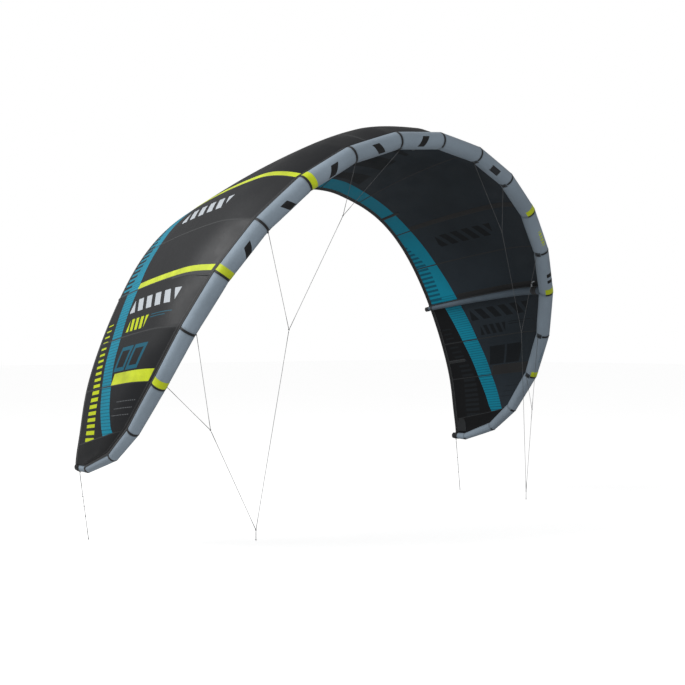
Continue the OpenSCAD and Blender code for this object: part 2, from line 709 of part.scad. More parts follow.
module bridle_knots() {
    for (p = [join_front, join_mid, join_low]) translate(p) sphere(d = knot_d, $fn = 32);
}
module bridle_knots_right() {
    color([0.3, 0.32, 0.34]) bridle_knots();
}
module bridle_knots_left() {
    color([0.3, 0.32, 0.34]) mirror([1, 0, 0]) bridle_knots();
}
module bridle_lower() {
    cord(join_mid, foot, line_d, knot_end + bridle_gap, 0);
    cord(join_low, foot, line_d, knot_end + bridle_gap, 0);
    translate(foot) sphere(d = knot_d, $fn = 32);
}
module bridle_lower_right() {
    color([0.72, 0.74, 0.76]) bridle_lower();
}
module bridle_lower_left() {
    color([0.72, 0.74, 0.76]) mirror([1, 0, 0]) bridle_lower();
}
module front_pigtail() {
    end = foot - [0, 0, front_tail];
    cord(foot, end, line_d + 0.6, knot_end, 0);
    translate(end) sphere(d = knot_d * 0.8, $fn = 32);
}
module front_pigtail_right() {
    color([0.1, 0.1, 0.12]) front_pigtail();
}
module front_pigtail_left() {
    color([0.1, 0.1, 0.12]) mirror([1, 0, 0]) front_pigtail();
}

// Rear pigtails hang from a strap loop under each tip cap.
rear_eye = axis_pt[seg_count] - 30 * tip_axis - (cap_r + cap_wall + eye_r + eye_wire_r + 1) * [0, 0, 1];
rear_lean = unit([-30, -80, -496]);
rear_top = rear_eye - (eye_r + eye_wire_r + 1.5) * [0, 0, 1];
module rear_tab_right() {
    color([0.08, 0.08, 0.09]) wire_ring(rear_eye, [0, 1, 0]);
}
module rear_tab_left() {
    color([0.08, 0.08, 0.09]) mirror([1, 0, 0]) wire_ring(rear_eye, [0, 1, 0]);
}
module rear_pigtail() {
    end = rear_top + rear_tail * rear_lean;
    cord(rear_top, end, line_d + 0.6, 1, 0);
    for (k = [0.35, 0.5, 0.65])
        translate(rear_top + k * rear_tail * rear_lean) sphere(d = knot_d * 0.7, $fn = 32);
    translate(end) sphere(d = knot_d * 0.8, $fn = 32);
}
module rear_pigtail_right() {
    color([0.1, 0.1, 0.12]) rear_pigtail();
}
module rear_pigtail_left() {
    color([0.1, 0.1, 0.12]) mirror([1, 0, 0]) rear_pigtail();
}

le_casing();
le_bladder();
le_seam_tapes();
le_accent_bands();
tip_cap_left();
tip_cap_right();
le_label();
canopy();
le_hem();
te_hem();
chord_bands();
batten_pockets();
battens();
tip_patches();
strut_casing_left();
strut_casing_right();
strut_bladder_left();
strut_bladder_right();
strut_end_cap_left();
strut_end_cap_right();
strut_collars();
hose_left();
hose_right();
clip_body_left();
clip_body_right();
clip_lever_left();
clip_lever_right();
valve_patch();
valve_base();
valve_insert();
valve_cap();
leash_anchor();
leash_loop();
bridle_tabs_left();
bridle_tabs_right();
bridle_upper_left();
bridle_upper_right();
bridle_knots_left();
bridle_knots_right();
bridle_lower_left();
bridle_lower_right();
front_pigtail_left();
front_pigtail_right();
rear_tab_left();
rear_tab_right();
rear_pigtail_left();
rear_pigtail_right();
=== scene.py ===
import json
import bmesh
import bpy
import numpy as np
from mathutils import Matrix, Vector


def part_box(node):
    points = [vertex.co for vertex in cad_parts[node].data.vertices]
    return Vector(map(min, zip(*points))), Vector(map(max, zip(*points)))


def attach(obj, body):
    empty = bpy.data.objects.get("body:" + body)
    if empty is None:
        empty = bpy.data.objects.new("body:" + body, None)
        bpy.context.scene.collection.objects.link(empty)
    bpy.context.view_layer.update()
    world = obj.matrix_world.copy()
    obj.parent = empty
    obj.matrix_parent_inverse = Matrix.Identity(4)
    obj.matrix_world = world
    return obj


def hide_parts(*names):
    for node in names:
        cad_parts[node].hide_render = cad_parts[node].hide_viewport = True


# The look of an inflatable-leading-edge kitesurf kite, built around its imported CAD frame.
# Metres. +X along the span, -Y towards the leading edge, +Z up, as in the frame.
# A station t counts tube seams from the middle (0) to a tip (+11 right, -11 left).
# A share u runs along the chord, from 0 at the leading edge to 1 at the trailing edge.

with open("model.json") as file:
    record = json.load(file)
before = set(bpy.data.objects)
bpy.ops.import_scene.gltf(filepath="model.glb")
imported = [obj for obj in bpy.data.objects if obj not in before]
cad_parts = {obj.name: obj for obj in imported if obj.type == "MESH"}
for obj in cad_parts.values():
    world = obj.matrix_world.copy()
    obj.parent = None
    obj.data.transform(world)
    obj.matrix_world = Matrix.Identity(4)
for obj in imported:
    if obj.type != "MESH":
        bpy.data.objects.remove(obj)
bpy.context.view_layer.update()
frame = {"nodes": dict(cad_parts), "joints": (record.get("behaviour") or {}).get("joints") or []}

# ---- driving dimensions, the same as in the frame ----
SEGMENTS = np.array([0.430] * 7 + [0.410, 0.313, 0.369, 0.150])
ROLL_END, ROLL_POWER, ROLL_REACH = 85.9, 1.18, 3.240
SWEEP_EVEN, SWEEP_TIP, SWEEP_POWER = 35.8, 61.5, 5.85
TUBE_MID_R, TUBE_TIP_R, TAPER_POWER = 0.063, 0.025, 4
CHORD_MID, TE_SWEEP, SWEEP_DONE, FAN_SHIFT = 1.375, 0.336, 0.556, 0.091
TE_DROP, TE_DROP_STRUT, DROP_BLEND, FADE_FROM, FADE_OVER = 0.219, 0.071, 0.45, 0.6, 0.3
LIFT_FROM, TIP_LIFT = 0.9, 0.033
CAMBER_MID, CAMBER_STRUT, CAMBER_PANEL, CAMBER_AT = 0.115, 0.043, 0.058, 0.27
STRUT_REACH, CENTRE_REACH = 1.6, 2.0
SEAM_ANGLE, SEAM_LIFT = 45, 0.003
SPAN_END = 10.0
STRUT_T, STRUT_FRONT_R, STRUT_REAR_R = 5, 0.037, 0.0185
STRUT_FRONT_IN, STRUT_PAST_TE, STRUT_GAP = 0.042, 0.020, 0.0049
LE_HEM_W, TE_HEM_W = 0.026, 0.036
CLOTH = 0.0006
LE_HEM_T, TE_HEM_T = 0.0013, 0.0016
# Heights of the layers sewn to the outer face: (top, base). The inner face has them mirrored.
SEAM_LAYER, BAND_LAYER, TAPE_LAYER = (0.0010, 0.0003), (0.0014, 0.0002), (0.0016, 0.0002)
FELL_W = 0.011
LINE_R, TAIL_R, KNOT_R = 0.0015, 0.0018, 0.006
EYE_RINGS = (1, 2, 4, 6, 7)
BAND_RINGS = (3, 5, 7)
BAND_W, BAND_GAP, TUBE_BAND_GAP = 0.116, 0.01, 0.020
INNER_BANDS = {3: 0.105, 5: 0.19, 7: 0.25}
PANEL_SEAMS = (0, 1.5, 3, 4, 5, 6, 7)
BATTENS = (2.4, 6.5)
TIP_LINE_T, TIP_LINE_SLANT = 8.15, 0.55
RUNG, LADDER_FROM = 0.048, 5.6

ARC_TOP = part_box("le_casing")[1].z - TUBE_MID_R


# ---- shape of the wing ----
def unit(v):
    return v / np.linalg.norm(v, axis=-1, keepdims=True)


def smooth(x):
    x = np.clip(x, 0, 1)
    return x * x * (3 - 2 * x)


ALONG = np.concatenate([[0], np.cumsum(SEGMENTS)])
RING = np.arange(len(ALONG))
MIDDLE = (ALONG[1:] - SEGMENTS / 2) / ALONG[-1]
PSI = np.radians(SWEEP_EVEN * MIDDLE + SWEEP_TIP * MIDDLE**SWEEP_POWER)
FLAT = SEGMENTS * np.cos(PSI)
ARC = np.concatenate([[0], np.cumsum(FLAT)])
PHI = np.radians(ROLL_END * (1 - np.maximum(0, 1 - (ARC[:-1] + FLAT / 2) / ROLL_REACH) ** ROLL_POWER))
STEPS = np.stack([FLAT * np.cos(PHI), SEGMENTS * np.sin(PSI), -FLAT * np.sin(PHI)], 1)
AXIS = np.array([0, 0, ARC_TOP]) + np.concatenate([[[0, 0, 0]], np.cumsum(STEPS, 0)])
RING_PHI = np.concatenate([[0], (PHI[:-1] + PHI[1:]) / 2, PHI[-1:]])
RING_PSI = np.concatenate([[0], (PSI[:-1] + PSI[1:]) / 2, PSI[-1:]])
OUT = np.stack([np.sin(RING_PHI), 0 * RING_PHI, np.cos(RING_PHI)], 1)
RUN = np.stack(
    [np.cos(RING_PSI) * np.cos(RING_PHI), np.sin(RING_PSI), -np.cos(RING_PSI) * np.sin(RING_PHI)], 1
)
BACK = np.cross(OUT, RUN)
TIP_SIDE = unit(OUT[-1] + BACK[-1])
RADIUS = TUBE_MID_R - (TUBE_MID_R - TUBE_TIP_R) * (ALONG / ALONG[-1]) ** TAPER_POWER


def between(table, at, x):
    """Rows of a table, interpolated at x."""
    return np.stack([np.interp(x, at, table[:, k]) for k in range(3)], -1)


def mirrored(points, t):
    points = np.array(points)
    points[..., 0] *= np.where(np.asarray(t) < 0, -1, 1)
    return points


def tube_point(t, lift, angle):
    """A point off the tube: 0 degrees faces outward, 90 rearward, -90 forward."""
    t, lift, angle = np.broadcast_arrays(np.asarray(t, float), lift, np.radians(angle))
    s = np.abs(t)
    r = (np.interp(s, RING, RADIUS) + lift)[..., None]
    across = np.cos(angle)[..., None] * between(OUT, RING, s)
    across = across + np.sin(angle)[..., None] * between(BACK, RING, s)
    return mirrored(between(AXIS, RING, s) + r * across, t)


def trailing_edge(s):
    """Trailing edge of the right half at stations s."""
    arc = np.interp(s, RING, ARC)
    x = arc / ARC[-1]
    fanned = arc + FAN_SHIFT * np.sin(np.pi * x**2)
    along = np.minimum(fanned, ARC[-1])
    w = smooth(x / DROP_BLEND)
    drop = (TE_DROP * (1 - w) + TE_DROP_STRUT * w) * (1 - smooth((x - FADE_FROM) / FADE_OVER))
    p = between(AXIS, ARC, along) - drop[..., None] * unit(between(OUT, ARC, along))
    p += (TIP_LIFT * smooth((fanned / ARC[-1] - LIFT_FROM) / (1 - LIFT_FROM)))[..., None] * TIP_SIDE
    p[..., 1] = CHORD_MID + TE_SWEEP * np.sin(np.pi / 2 * np.minimum(1, fanned / ARC[-1] / SWEEP_DONE))
    return p, fanned


def near(s, at, reach):
    return np.exp(-(((s - at) / reach) ** 2))


def flat_wing(t, u):
    """The cambered wing with a straight run between tube seams: stations (n), shares (m)."""
    s = np.abs(t)
    le = tube_point(s, SEAM_LIFT, SEAM_ANGLE)
    te = trailing_edge(s)[0]
    chord = np.linalg.norm(te - le, axis=1)
    w = near(s, STRUT_T, STRUT_REACH)
    fuller = (CAMBER_MID - CAMBER_PANEL) * near(s, 0, CENTRE_REACH)
    camber = CAMBER_PANEL * (1 - w) + CAMBER_STRUT * w + fuller
    m = CAMBER_AT
    hump = np.where(u <= m, (2 * m * u - u * u) / (m * m), (1 - 2 * m + 2 * m * u - u * u) / (1 - m) ** 2)
    rise = (camber * chord)[:, None, None] * hump[None, :, None] * unit(between(OUT, RING, s))[:, None]
    return mirrored(le[:, None] + u[None, :, None] * (te - le)[:, None] + rise, np.asarray(t)[:, None])


def spline(x, y, at):
    """A natural cubic curve through y at x, read at new places."""
    h = np.diff(x)
    n = len(x)
    a = np.zeros((n, n))
    b = np.zeros_like(y)
    a[0, 0] = a[-1, -1] = 1
    for i in range(1, n - 1):
        a[i, i - 1 : i + 2] = h[i - 1], 2 * (h[i - 1] + h[i]), h[i]
        b[i] = 6 * ((y[i + 1] - y[i]) / h[i] - (y[i] - y[i - 1]) / h[i - 1])
    bend = np.linalg.solve(a, b.reshape(n, -1)).reshape(y.shape)
    i = np.clip(np.searchsorted(x, at) - 1, 0, n - 2)
    shape = (-1,) + (1,) * (y.ndim - 1)
    d, e, g = (at - x[i]).reshape(shape), (x[i + 1] - at).reshape(shape), h[i].reshape(shape)
    return (
        (bend[i] * e**3 + bend[i + 1] * d**3) / (6 * g)
        + (y[i] / g - bend[i] * g / 6) * e
        + (y[i + 1] / g - bend[i + 1] * g / 6) * d
    )


def signed_along(t):
    return np.sign(t) * np.interp(np.abs(t), RING, ALONG)


def wing_table():
    """The wing sheet: it follows the tube at the front and is one even curve at the back."""
    knots = np.arange(-SPAN_END, SPAN_END + 1)
    even = spline(signed_along(knots), flat_wing(knots, SHARES), signed_along(STATIONS))
    straight = flat_wing(STATIONS, SHARES)
    w = smooth(SHARES / EVEN_FROM)[None, :, None]
    return straight * (1 - w) + even * w


EVEN_FROM = 0.3  # share of the chord behind which the sheet is one even curve
PUFF = 0.004  # how far each panel swells between its seams
STATIONS = np.linspace(-SPAN_END, SPAN_END, 1001)
SHARES = np.linspace(-0.04, 1.04, 109)
SHEET = wing_table()
NORMAL = unit(np.cross(np.gradient(SHEET, axis=0), np.gradient(SHEET, axis=1)))
SEAM_AT = np.interp(np.abs(STATIONS), PANEL_SEAMS + (TIP_LINE_T,), np.arange(len(PANEL_SEAMS) + 1))
SHEET = SHEET + (
    PUFF * (np.sin(np.pi * SEAM_AT) ** 2)[:, None] * np.sin(np.pi * np.clip(SHARES, 0, 1))[None]
)[..., None] * NORMAL
CHORD = np.linalg.norm(np.diff(SHEET[:, (SHARES >= 0) & (SHARES <= 1)], axis=1), axis=2).sum(1)


def read(table, t, u):
    """A table over stations and shares, read between its points."""
    t, u = np.broadcast_arrays(np.asarray(t, float), np.asarray(u, float))
    x = np.clip((t - STATIONS[0]) / (STATIONS[1] - STATIONS[0]), 0, len(STATIONS) - 1.001)
    y = np.clip((u - SHARES[0]) / (SHARES[1] - SHARES[0]), 0, len(SHARES) - 1.001)
    i, j = x.astype(int), y.astype(int)
    fx, fy = (x - i)[..., None], (y - j)[..., None]
    front = table[i, j] * (1 - fy) + table[i, j + 1] * fy
    rear = table[i + 1, j] * (1 - fy) + table[i + 1, j + 1] * fy
    return front * (1 - fx) + rear * fx


def wing_point(t, u, off=0.0):
    return read(SHEET, t, u) + np.asarray(off)[..., None] * read(NORMAL, t, u)


def chord_at(t):
    return np.interp(t, STATIONS, CHORD)


def behind_le(t, width):
    return width / chord_at(t)


def before_te(t, width):
    return 1 - width / chord_at(t)


STRIPE_MID, STRIPE_GROWS, STRIPE_BEND, STRIPE_SHARP = 0.165, 0.075, 2.7, 3
STRIPE_LEAVES, STRIPE_LEAVES_OVER = 2.9, 1.3
STRIPE_W, STRIPE_NARROWS = 0.18, 0.012


def stripe_front(s):
    """Distance from the trailing edge to the front of the coloured stripe."""
    return STRIPE_MID + STRIPE_GROWS * np.log1p(np.exp((s - STRIPE_BEND) * STRIPE_SHARP)) / STRIPE_SHARP


def stripe_rear(s):
    """Distance to its rear: it leaves the trailing edge before the strut and narrows beyond it."""
    inner = STRIPE_MID * smooth((s - STRIPE_LEAVES) / STRIPE_LEAVES_OVER)
    outer = stripe_front(s) - (STRIPE_W - STRIPE_NARROWS * (s - STRUT_T))
    return np.where(s < STRUT_T, inner, outer)


def ladder_span(s):
    """Middle and half width of the bright rungs near the trailing edge."""
    middle = 0.10 + 0.125 * smooth((s - LADDER_FROM) / 1.6)
    return middle, 0.045 + 0.032 * smooth((s - LADDER_FROM) / 2.4)


# ---- meshes ----
def make_object(name, points, faces, slots=None):
    mesh = bpy.data.meshes.new(name)
    mesh.from_pydata([tuple(p) for p in np.asarray(points).reshape(-1, 3)], [], faces)
    mesh.polygons.foreach_set("use_smooth", np.ones(len(mesh.polygons), bool))
    if slots is not None:
        mesh.polygons.foreach_set("material_index", np.asarray(slots, np.int32))
    mesh.set_sharp_from_angle(angle=np.radians(50))
    mesh.validate()
    piece = bpy.data.objects.new(name, mesh)
    bpy.context.scene.collection.objects.link(piece)
    return piece


def shell_faces(n, m, start, closed, two_sided):
    """Quads over n rings of m points, with end caps. Slot 1 is the inner half of each ring."""
    faces, slots = [], []
    for i in range(n if closed else n - 1):
        k = (i + 1) % n
        for j in range(m):
            l = (j + 1) % m
            faces.append((start + i * m + j, start + k * m + j, start + k * m + l, start + i * m + l))
            slots.append(1 if two_sided and m // 2 <= j < m - 1 else 0)
    if not closed:
        for i, turn in ((0, 1), (n - 1, -1)):
            for j in range(m // 2 - 1):
                corner = [start + i * m + c for c in (j, j + 1, m - 2 - j, m - 1 - j)]
                faces.append(tuple(corner[::turn]))
                slots.append(0)
    return faces, slots


def shells(name, parts, two_sided=False, closed=False, values=None):
    """One object from several rows of rings. values holds a named number for each point."""
    points, faces, slots, start = [], [], [], 0
    for rings in parts:
        n, m = rings.shape[:2]
        f, s = shell_faces(n, m, start, closed, two_sided)
        points.append(rings.reshape(-1, 3))
        faces += f
        slots += s
        start += n * m
    piece = make_object(name, np.concatenate(points), faces, slots)
    for key, data in (values or {}).items():
        layer = piece.data.attributes.new(key, "FLOAT", "POINT")
        layer.data.foreach_set("value", np.concatenate([d.ravel() for d in data]).astype(np.float32))
    fix_normals(piece)
    return piece


def fix_normals(piece):
    b = bmesh.new()
    b.from_mesh(piece.data)
    bmesh.ops.recalc_face_normals(b, faces=b.faces)
    b.to_mesh(piece.data)
    b.free()


def folded(upper, lower):
    """Rings from an upper and a lower row."""
    return np.concatenate([upper, lower[:, ::-1]], 1)


def doubled(values):
    """Values of an upper row, carried on to the lower one."""
    return {key: np.concatenate([value, value[:, ::-1]], 1) for key, value in values.items()}


def cloth_rows(t, u, top, base):
    """Rings of a sheet on the wing, with its cloth values for the looks."""
    t = np.asarray(t, float)
    u = np.broadcast_to(u, (len(t), np.shape(u)[-1]))
    grid = np.broadcast_to(t[:, None], u.shape)
    rings = folded(wing_point(grid, u, top), wing_point(grid, u, base))
    s = np.abs(grid)
    te = (1 - u) * chord_at(grid)
    lower, upper = stripe_rear(s), stripe_front(s)
    middle, half = ladder_span(s)
    metres = np.linalg.norm(np.diff(wing_point(grid, u), axis=1), axis=2)
    across = np.concatenate([np.zeros((len(t), 1)), np.cumsum(metres, 1)], 1)
    width = across[:, -1:]
    values = {
        "station": grid,
        "share": u,
        "te": te,
        "run": trailing_edge(s)[1],
        "stripe": (te - lower) / (upper - lower),
        "ladder": np.where(s > 5.55, (te - middle + half) / (2 * half), -1),
        "tip": s - TIP_LINE_T - TIP_LINE_SLANT * u,
        "side": np.minimum(across, width - across),
        "across": across,
    }
    return rings, doubled(values)


def joined(name, made, **options):
    """One object from several (rings, values)."""
    values = {key: [m[1][key] for m in made] for key in made[-1][1]}
    return shells(name, [m[0] for m in made], values=values, **options)


def cloth_piece(name, parts, **options):
    """One object from several sheets on the wing: (stations, shares, top, base)."""
    return joined(name, [cloth_rows(*part) for part in parts], **options)


def tube_rows(t, angles, top, base):
    """Rings of a strip on the tube: one ring per angle, running over stations t."""
    t, angles = np.asarray(t, float), np.asarray(angles, float)
    grid_a, grid_t = np.meshgrid(angles, t, indexing="ij")
    rings = folded(tube_point(grid_t, top, grid_a), tube_point(grid_t, base, grid_a))
    along = np.abs(signed_along(grid_t) - signed_along(t[:1]))
    values = {
        "station": grid_t,
        "angle": grid_a,
        "run": np.radians(grid_a) * np.interp(np.abs(grid_t), RING, RADIUS),
        "side": np.minimum(along, along[:, -1:] - along),
    }
    return rings, doubled(values)


def tube_piece(name, parts):
    return joined(name, [tube_rows(*part) for part in parts])


def cord_rings(path, radius, sides=10):
    """Rings along a path, with its length and turn as values."""
    path = np.asarray(path, float)
    radius = np.broadcast_to(radius, len(path))
    heading = unit(np.gradient(path, axis=0))
    up = np.array([0.31, 0.92, 0.24])
    first = unit(np.cross(heading, up))
    second = np.cross(heading, first)
    a = np.arange(sides) * 2 * np.pi / sides
    rings = path[:, None] + radius[:, None, None] * (
        np.cos(a)[None, :, None] * first[:, None] + np.sin(a)[None, :, None] * second[:, None]
    )
    length = np.concatenate([[0], np.cumsum(np.linalg.norm(np.diff(path, axis=0), axis=1))])
    values = {
        "run": np.repeat(length[:, None], sides, 1),
        "turn": np.repeat(np.abs(a - np.pi)[None] / np.pi, len(path), 0),
    }
    return rings, values


def cord_piece(name, cords, closed=False):
    return joined(name, [cord_rings(path, radius) for path, radius in cords], closed=closed)


# ---- looks ----
NOISE_LOW, NOISE_HIGH = 0.3, 0.7
GRAIN = 0.07
STITCH_IN, STITCH_W, STITCH_PITCH, STITCH_FILLED = 0.003, 0.0014, 0.007, 0.62


class Look:
    """A material's nodes, with short calls for the ones the looks need."""

    def __init__(self, name, roughness=0.6, specular=0.5, sheen=0.0, coat=0.0):
        self.material = bpy.data.materials.new(name)
        self.material.use_nodes = True
        self.tree = self.material.node_tree
        self.surface = self.tree.nodes["Principled BSDF"]
        self.put(self.surface.inputs["Roughness"], roughness)
        self.put(self.surface.inputs["Specular IOR Level"], specular)
        self.put(self.surface.inputs["Sheen Weight"], sheen)
        self.put(self.surface.inputs["Coat Weight"], coat)
        self.height = None

    def put(self, socket, value):
        if isinstance(value, bpy.types.NodeSocket):
            self.tree.links.new(value, socket)
        elif isinstance(value, tuple) and len(value) == 3 and socket.type == "RGBA":
            socket.default_value = value + (1.0,)
        else:
            socket.default_value = value

    def node(self, kind, **settings):
        made = self.tree.nodes.new("ShaderNode" + kind)
        for key, value in settings.items():
            setattr(made, key, value)
        return made

    def math(self, operation, a, b=0.0):
        made = self.node("Math", operation=operation)
        self.put(made.inputs[0], a)
        self.put(made.inputs[1], b)
        return made.outputs[0]

    def value(self, name):
        return self.node("Attribute", attribute_name=name).outputs["Fac"]

    def noise(self, scale, detail=3.0):
        made = self.node("TexNoise")
        self.put(made.inputs["Scale"], scale)
        self.put(made.inputs["Detail"], detail)
        self.put(made.inputs["Vector"], self.node("TexCoord").outputs["Object"])
        return made.outputs["Fac"]

    def varied(self, scale, low, high, detail=3.0):
        """Noise, spread from low to high."""
        return self.ranged(self.noise(scale, detail), NOISE_LOW, NOISE_HIGH, low, high)

    def mix(self, share, a, b):
        made = self.node("Mix", data_type="RGBA")
        self.put(made.inputs[0], share)
        self.put(made.inputs[6], a)
        self.put(made.inputs[7], b)
        return made.outputs[2]

    def ranged(self, x, low, high, to_low, to_high):
        made = self.node("MapRange")
        for k, v in enumerate((x, low, high, to_low, to_high)):
            self.put(made.inputs[k], v)
        return made.outputs[0]

    def inside(self, x, low, high):
        return self.both(self.math("GREATER_THAN", x, low), self.math("LESS_THAN", x, high))

    def window(self, x, across, y, along):
        """1 where x and y lie in their ranges."""
        return self.both(self.inside(x, *across), self.inside(y, *along))

    def both(self, *masks):
        out = masks[0]
        for mask in masks[1:]:
            out = self.math("MULTIPLY", out, mask)
        return out

    def either(self, *masks):
        out = masks[0]
        for mask in masks[1:]:
            out = self.math("MAXIMUM", out, mask)
        return out

    def repeat(self, x, pitch, filled):
        """1 over the filled share of each pitch."""
        return self.math("LESS_THAN", self.math("FRACT", self.math("DIVIDE", x, pitch)), filled)

    def tint(self, colour, low=0.85, high=1.15, scale=3.0, fine=220.0):
        """A colour with broad and fine variation."""
        broad = self.varied(scale, low, high, 4.0)
        grain = self.varied(fine, 1 - GRAIN, 1 + GRAIN, 2.0)
        made = self.node("VectorMath", operation="SCALE")
        self.put(made.inputs[0], colour if not isinstance(colour, tuple) else Vector(colour))
        self.put(made.inputs["Scale"], self.math("MULTIPLY", broad, grain))
        return made.outputs[0]

    def weave(self, x, y, pitch):
        """Height of a plain weave from two lengths in metres."""
        turn = 2 * np.pi / pitch
        a = self.math("SINE", self.math("MULTIPLY", x, turn))
        b = self.math("SINE", self.math("MULTIPLY", y, turn))
        return self.math("MULTIPLY", a, b)

    def add_height(self, height, amount):
        scaled = self.math("MULTIPLY", height, amount)
        self.height = scaled if self.height is None else self.math("ADD", self.height, scaled)

    def stitches(self, colour, thread):
        """Rows of thread near both edges of a strip."""
        row = self.inside(self.value("side"), STITCH_IN, STITCH_IN + STITCH_W)
        mask = self.both(row, self.repeat(self.value("run"), STITCH_PITCH, STITCH_FILLED))
        self.add_height(mask, 0.8)
        return self.mix(mask, colour, thread)

    def finish(self, colour, bump=0.25, distance=0.0006):
        self.put(self.surface.inputs["Base Color"], colour)
        if self.height is not None:
            made = self.node("Bump")
            made.inputs["Strength"].default_value = bump
            made.inputs["Distance"].default_value = distance
            self.put(made.inputs["Height"], self.height)
            self.put(self.surface.inputs["Normal"], made.outputs[0])
        return self.material


CHARCOAL = (0.0095, 0.0105, 0.0125)
SLATE = (0.020, 0.0285, 0.037)
INK = (0.0045, 0.005, 0.006)
PALE = (0.52, 0.56, 0.60)
LIME = (0.56, 0.66, 0.006)
TEAL = (0.002, 0.235, 0.35)
TEAL_DARK = (0.001, 0.10, 0.16)
DACRON = (0.27, 0.335, 0.40)
DACRON_DARK = (0.085, 0.115, 0.145)
THREAD = (0.045, 0.05, 0.055)
INNER_RUNG = (0.010, 0.013, 0.016)
SMALL_MARK = (0.16, 0.17, 0.18)
# Stations of the dark blocks on the tube, and the way each one leans.
TUBE_BLOCKS = ((-4.46, -1), (-3.48, 1), (-2.50, -1), (-1.50, 1), (-0.50, -1))
BLOCK_HALF, BLOCK_LEAN, BLOCK_LOW, BLOCK_HIGH = 0.075, 0.0016, -140.0, -66.0
BLOCK_TURN = -105  # the angle at which a leaning block stays in place
# reach of the painted shade beside each tube seam, in stations
SEAM_SHADE = 0.055


def scaled(colour, factor):
    return tuple(factor * c for c in colour)


def bars(look, t, share, span, part, count, slant=0.8, filled=0.6):
    """A block of slanted bars, a generic mark in place of a word."""
    block = look.window(t, span, share, part)
    x = look.math("MULTIPLY", look.math("SUBTRACT", share, part[0]), count / (part[1] - part[0]))
    lean = look.math("MULTIPLY", look.math("SUBTRACT", t, span[0]), slant / (span[1] - span[0]))
    return look.both(block, look.repeat(look.math("ADD", x, lean), 1.0, filled))


def frames(look, t, share, span, part, count, wall=0.16, gap=0.06):
    """A row of hollow blocks, a generic mark in place of a number."""
    block = look.window(t, span, share, part)
    x = look.math("MULTIPLY", look.math("SUBTRACT", share, part[0]), count / (part[1] - part[0]))
    x = look.math("FRACT", x)
    y = look.math("DIVIDE", look.math("SUBTRACT", t, span[0]), span[1] - span[0])
    outer = look.both(block, look.inside(x, gap, 1 - gap))
    hollow = look.window(x, (gap + wall, 1 - gap - wall), y, (wall, 1 - wall))
    return outer, look.both(outer, look.math("SUBTRACT", 1.0, hollow))


def canopy_marks(look, t, share, colour, inner):
    """Generic blocks, bars and lines on the canopy. They show through as dark shapes inside."""
    dark = scaled(SLATE, 0.3)

    def shade(outside):
        return dark if inner else outside

    big = bars(look, t, share, (3.33, 3.62), (0.33, 0.74), 5)
    second = bars(look, t, share, (5.26, 5.53), (0.17, 0.68), 5, slant=0.7)
    colour = look.mix(look.either(big, second), colour, shade(PALE))
    third = bars(look, t, share, (5.68, 5.92), (0.38, 0.61), 4, slant=0.6)
    colour = look.mix(third, colour, shade(LIME))
    block, outline = frames(look, t, share, (6.24, 6.72), (0.20, 0.55), 2)
    colour = look.mix(block, colour, shade(scaled(CHARCOAL, 0.6)))
    colour = look.mix(outline, colour, shade(TEAL_DARK))
    thin = look.either(
        look.window(t, (5.685, 5.70), share, (0.14, 0.35)),
        look.window(t, (5.735, 5.75), share, (0.19, 0.35)),
    )
    colour = look.mix(thin, colour, shade(TEAL_DARK))
    small = look.either(*(look.inside(t, at, at + 0.018) for at in (7.38, 7.54, 7.70)))
    small = look.both(small, look.inside(share, 0.06, 0.30), look.repeat(share, 0.021, 0.6))
    colour = look.mix(small, colour, shade(SMALL_MARK))
    if inner:
        signed = look.value("station")
        centre = bars(look, signed, share, (-0.8, 0.9), (0.46, 0.86), 2, slant=0.5, filled=0.62)
        colour = look.mix(centre, colour, dark)
    return colour


def canopy_look(name, inner):
    """Ripstop cloth with its stripe, rungs and marks. The inner face shows them darkly."""
    look = Look(name, specular=0.18 if inner else 0.3)
    t = look.math("ABSOLUTE", look.value("station"))
    share, te, run, stripe = (look.value(key) for key in ("share", "te", "run", "stripe"))
    tip = look.math("GREATER_THAN", look.value("tip"), 0.0)
    colour = look.tint(SLATE if inner else CHARCOAL, low=0.82, high=1.2, scale=1.7)
    if inner:
        flank = look.math("GREATER_THAN", t, float(STRUT_T))
        rear = look.both(flank, look.math("LESS_THAN", stripe, 0.5))
        colour = look.mix(rear, colour, look.tint(INK))
    colour = canopy_marks(look, t, share, colour, inner)
    rung = look.repeat(run, RUNG, 0.5)
    fine = look.both(look.repeat(run, RUNG / 2, 0.24), look.math("GREATER_THAN", t, 4.8))
    ahead = look.math("LESS_THAN", stripe, 1.0)
    solid = look.both(ahead, look.math("GREATER_THAN", stripe, 0.0))
    inboard = look.both(ahead, look.math("LESS_THAN", t, float(STRUT_T)))
    teal = look.mix(fine, look.tint(TEAL, low=0.9, high=1.08), look.tint(scaled(TEAL, 0.5)))
    stays = look.math("SUBTRACT", 1.0, tip)
    colour = look.mix(look.both(look.either(solid, inboard), stays), colour, teal)
    rail = look.both(inboard, look.math("LESS_THAN", stripe, 0.0), rung)
    colour = look.mix(rail, colour, TEAL_DARK if inner else CHARCOAL)
    grown = look.ranged(t, LADDER_FROM, 7.2, 0.22, 0.56)
    ladder_rung = look.math("LESS_THAN", look.math("FRACT", look.math("DIVIDE", run, RUNG)), grown)
    ladder = look.both(look.inside(look.value("ladder"), 0.0, 1.0), ladder_rung, stays)
    colour = look.mix(ladder, colour, INNER_RUNG if inner else LIME)
    colour = look.mix(tip, colour, look.tint(INK if inner else scaled(CHARCOAL, 0.7)))
    look.put(look.surface.inputs["Roughness"], look.varied(6.0, 0.42, 0.54))
    look.add_height(look.weave(run, te, 0.006), 0.35)
    look.add_height(look.noise(9.0, 4.0), 3.0 if inner else 1.6)
    look.add_height(look.noise(320.0, 2.0), 0.4)
    return look.finish(colour, bump=0.35, distance=0.0008)


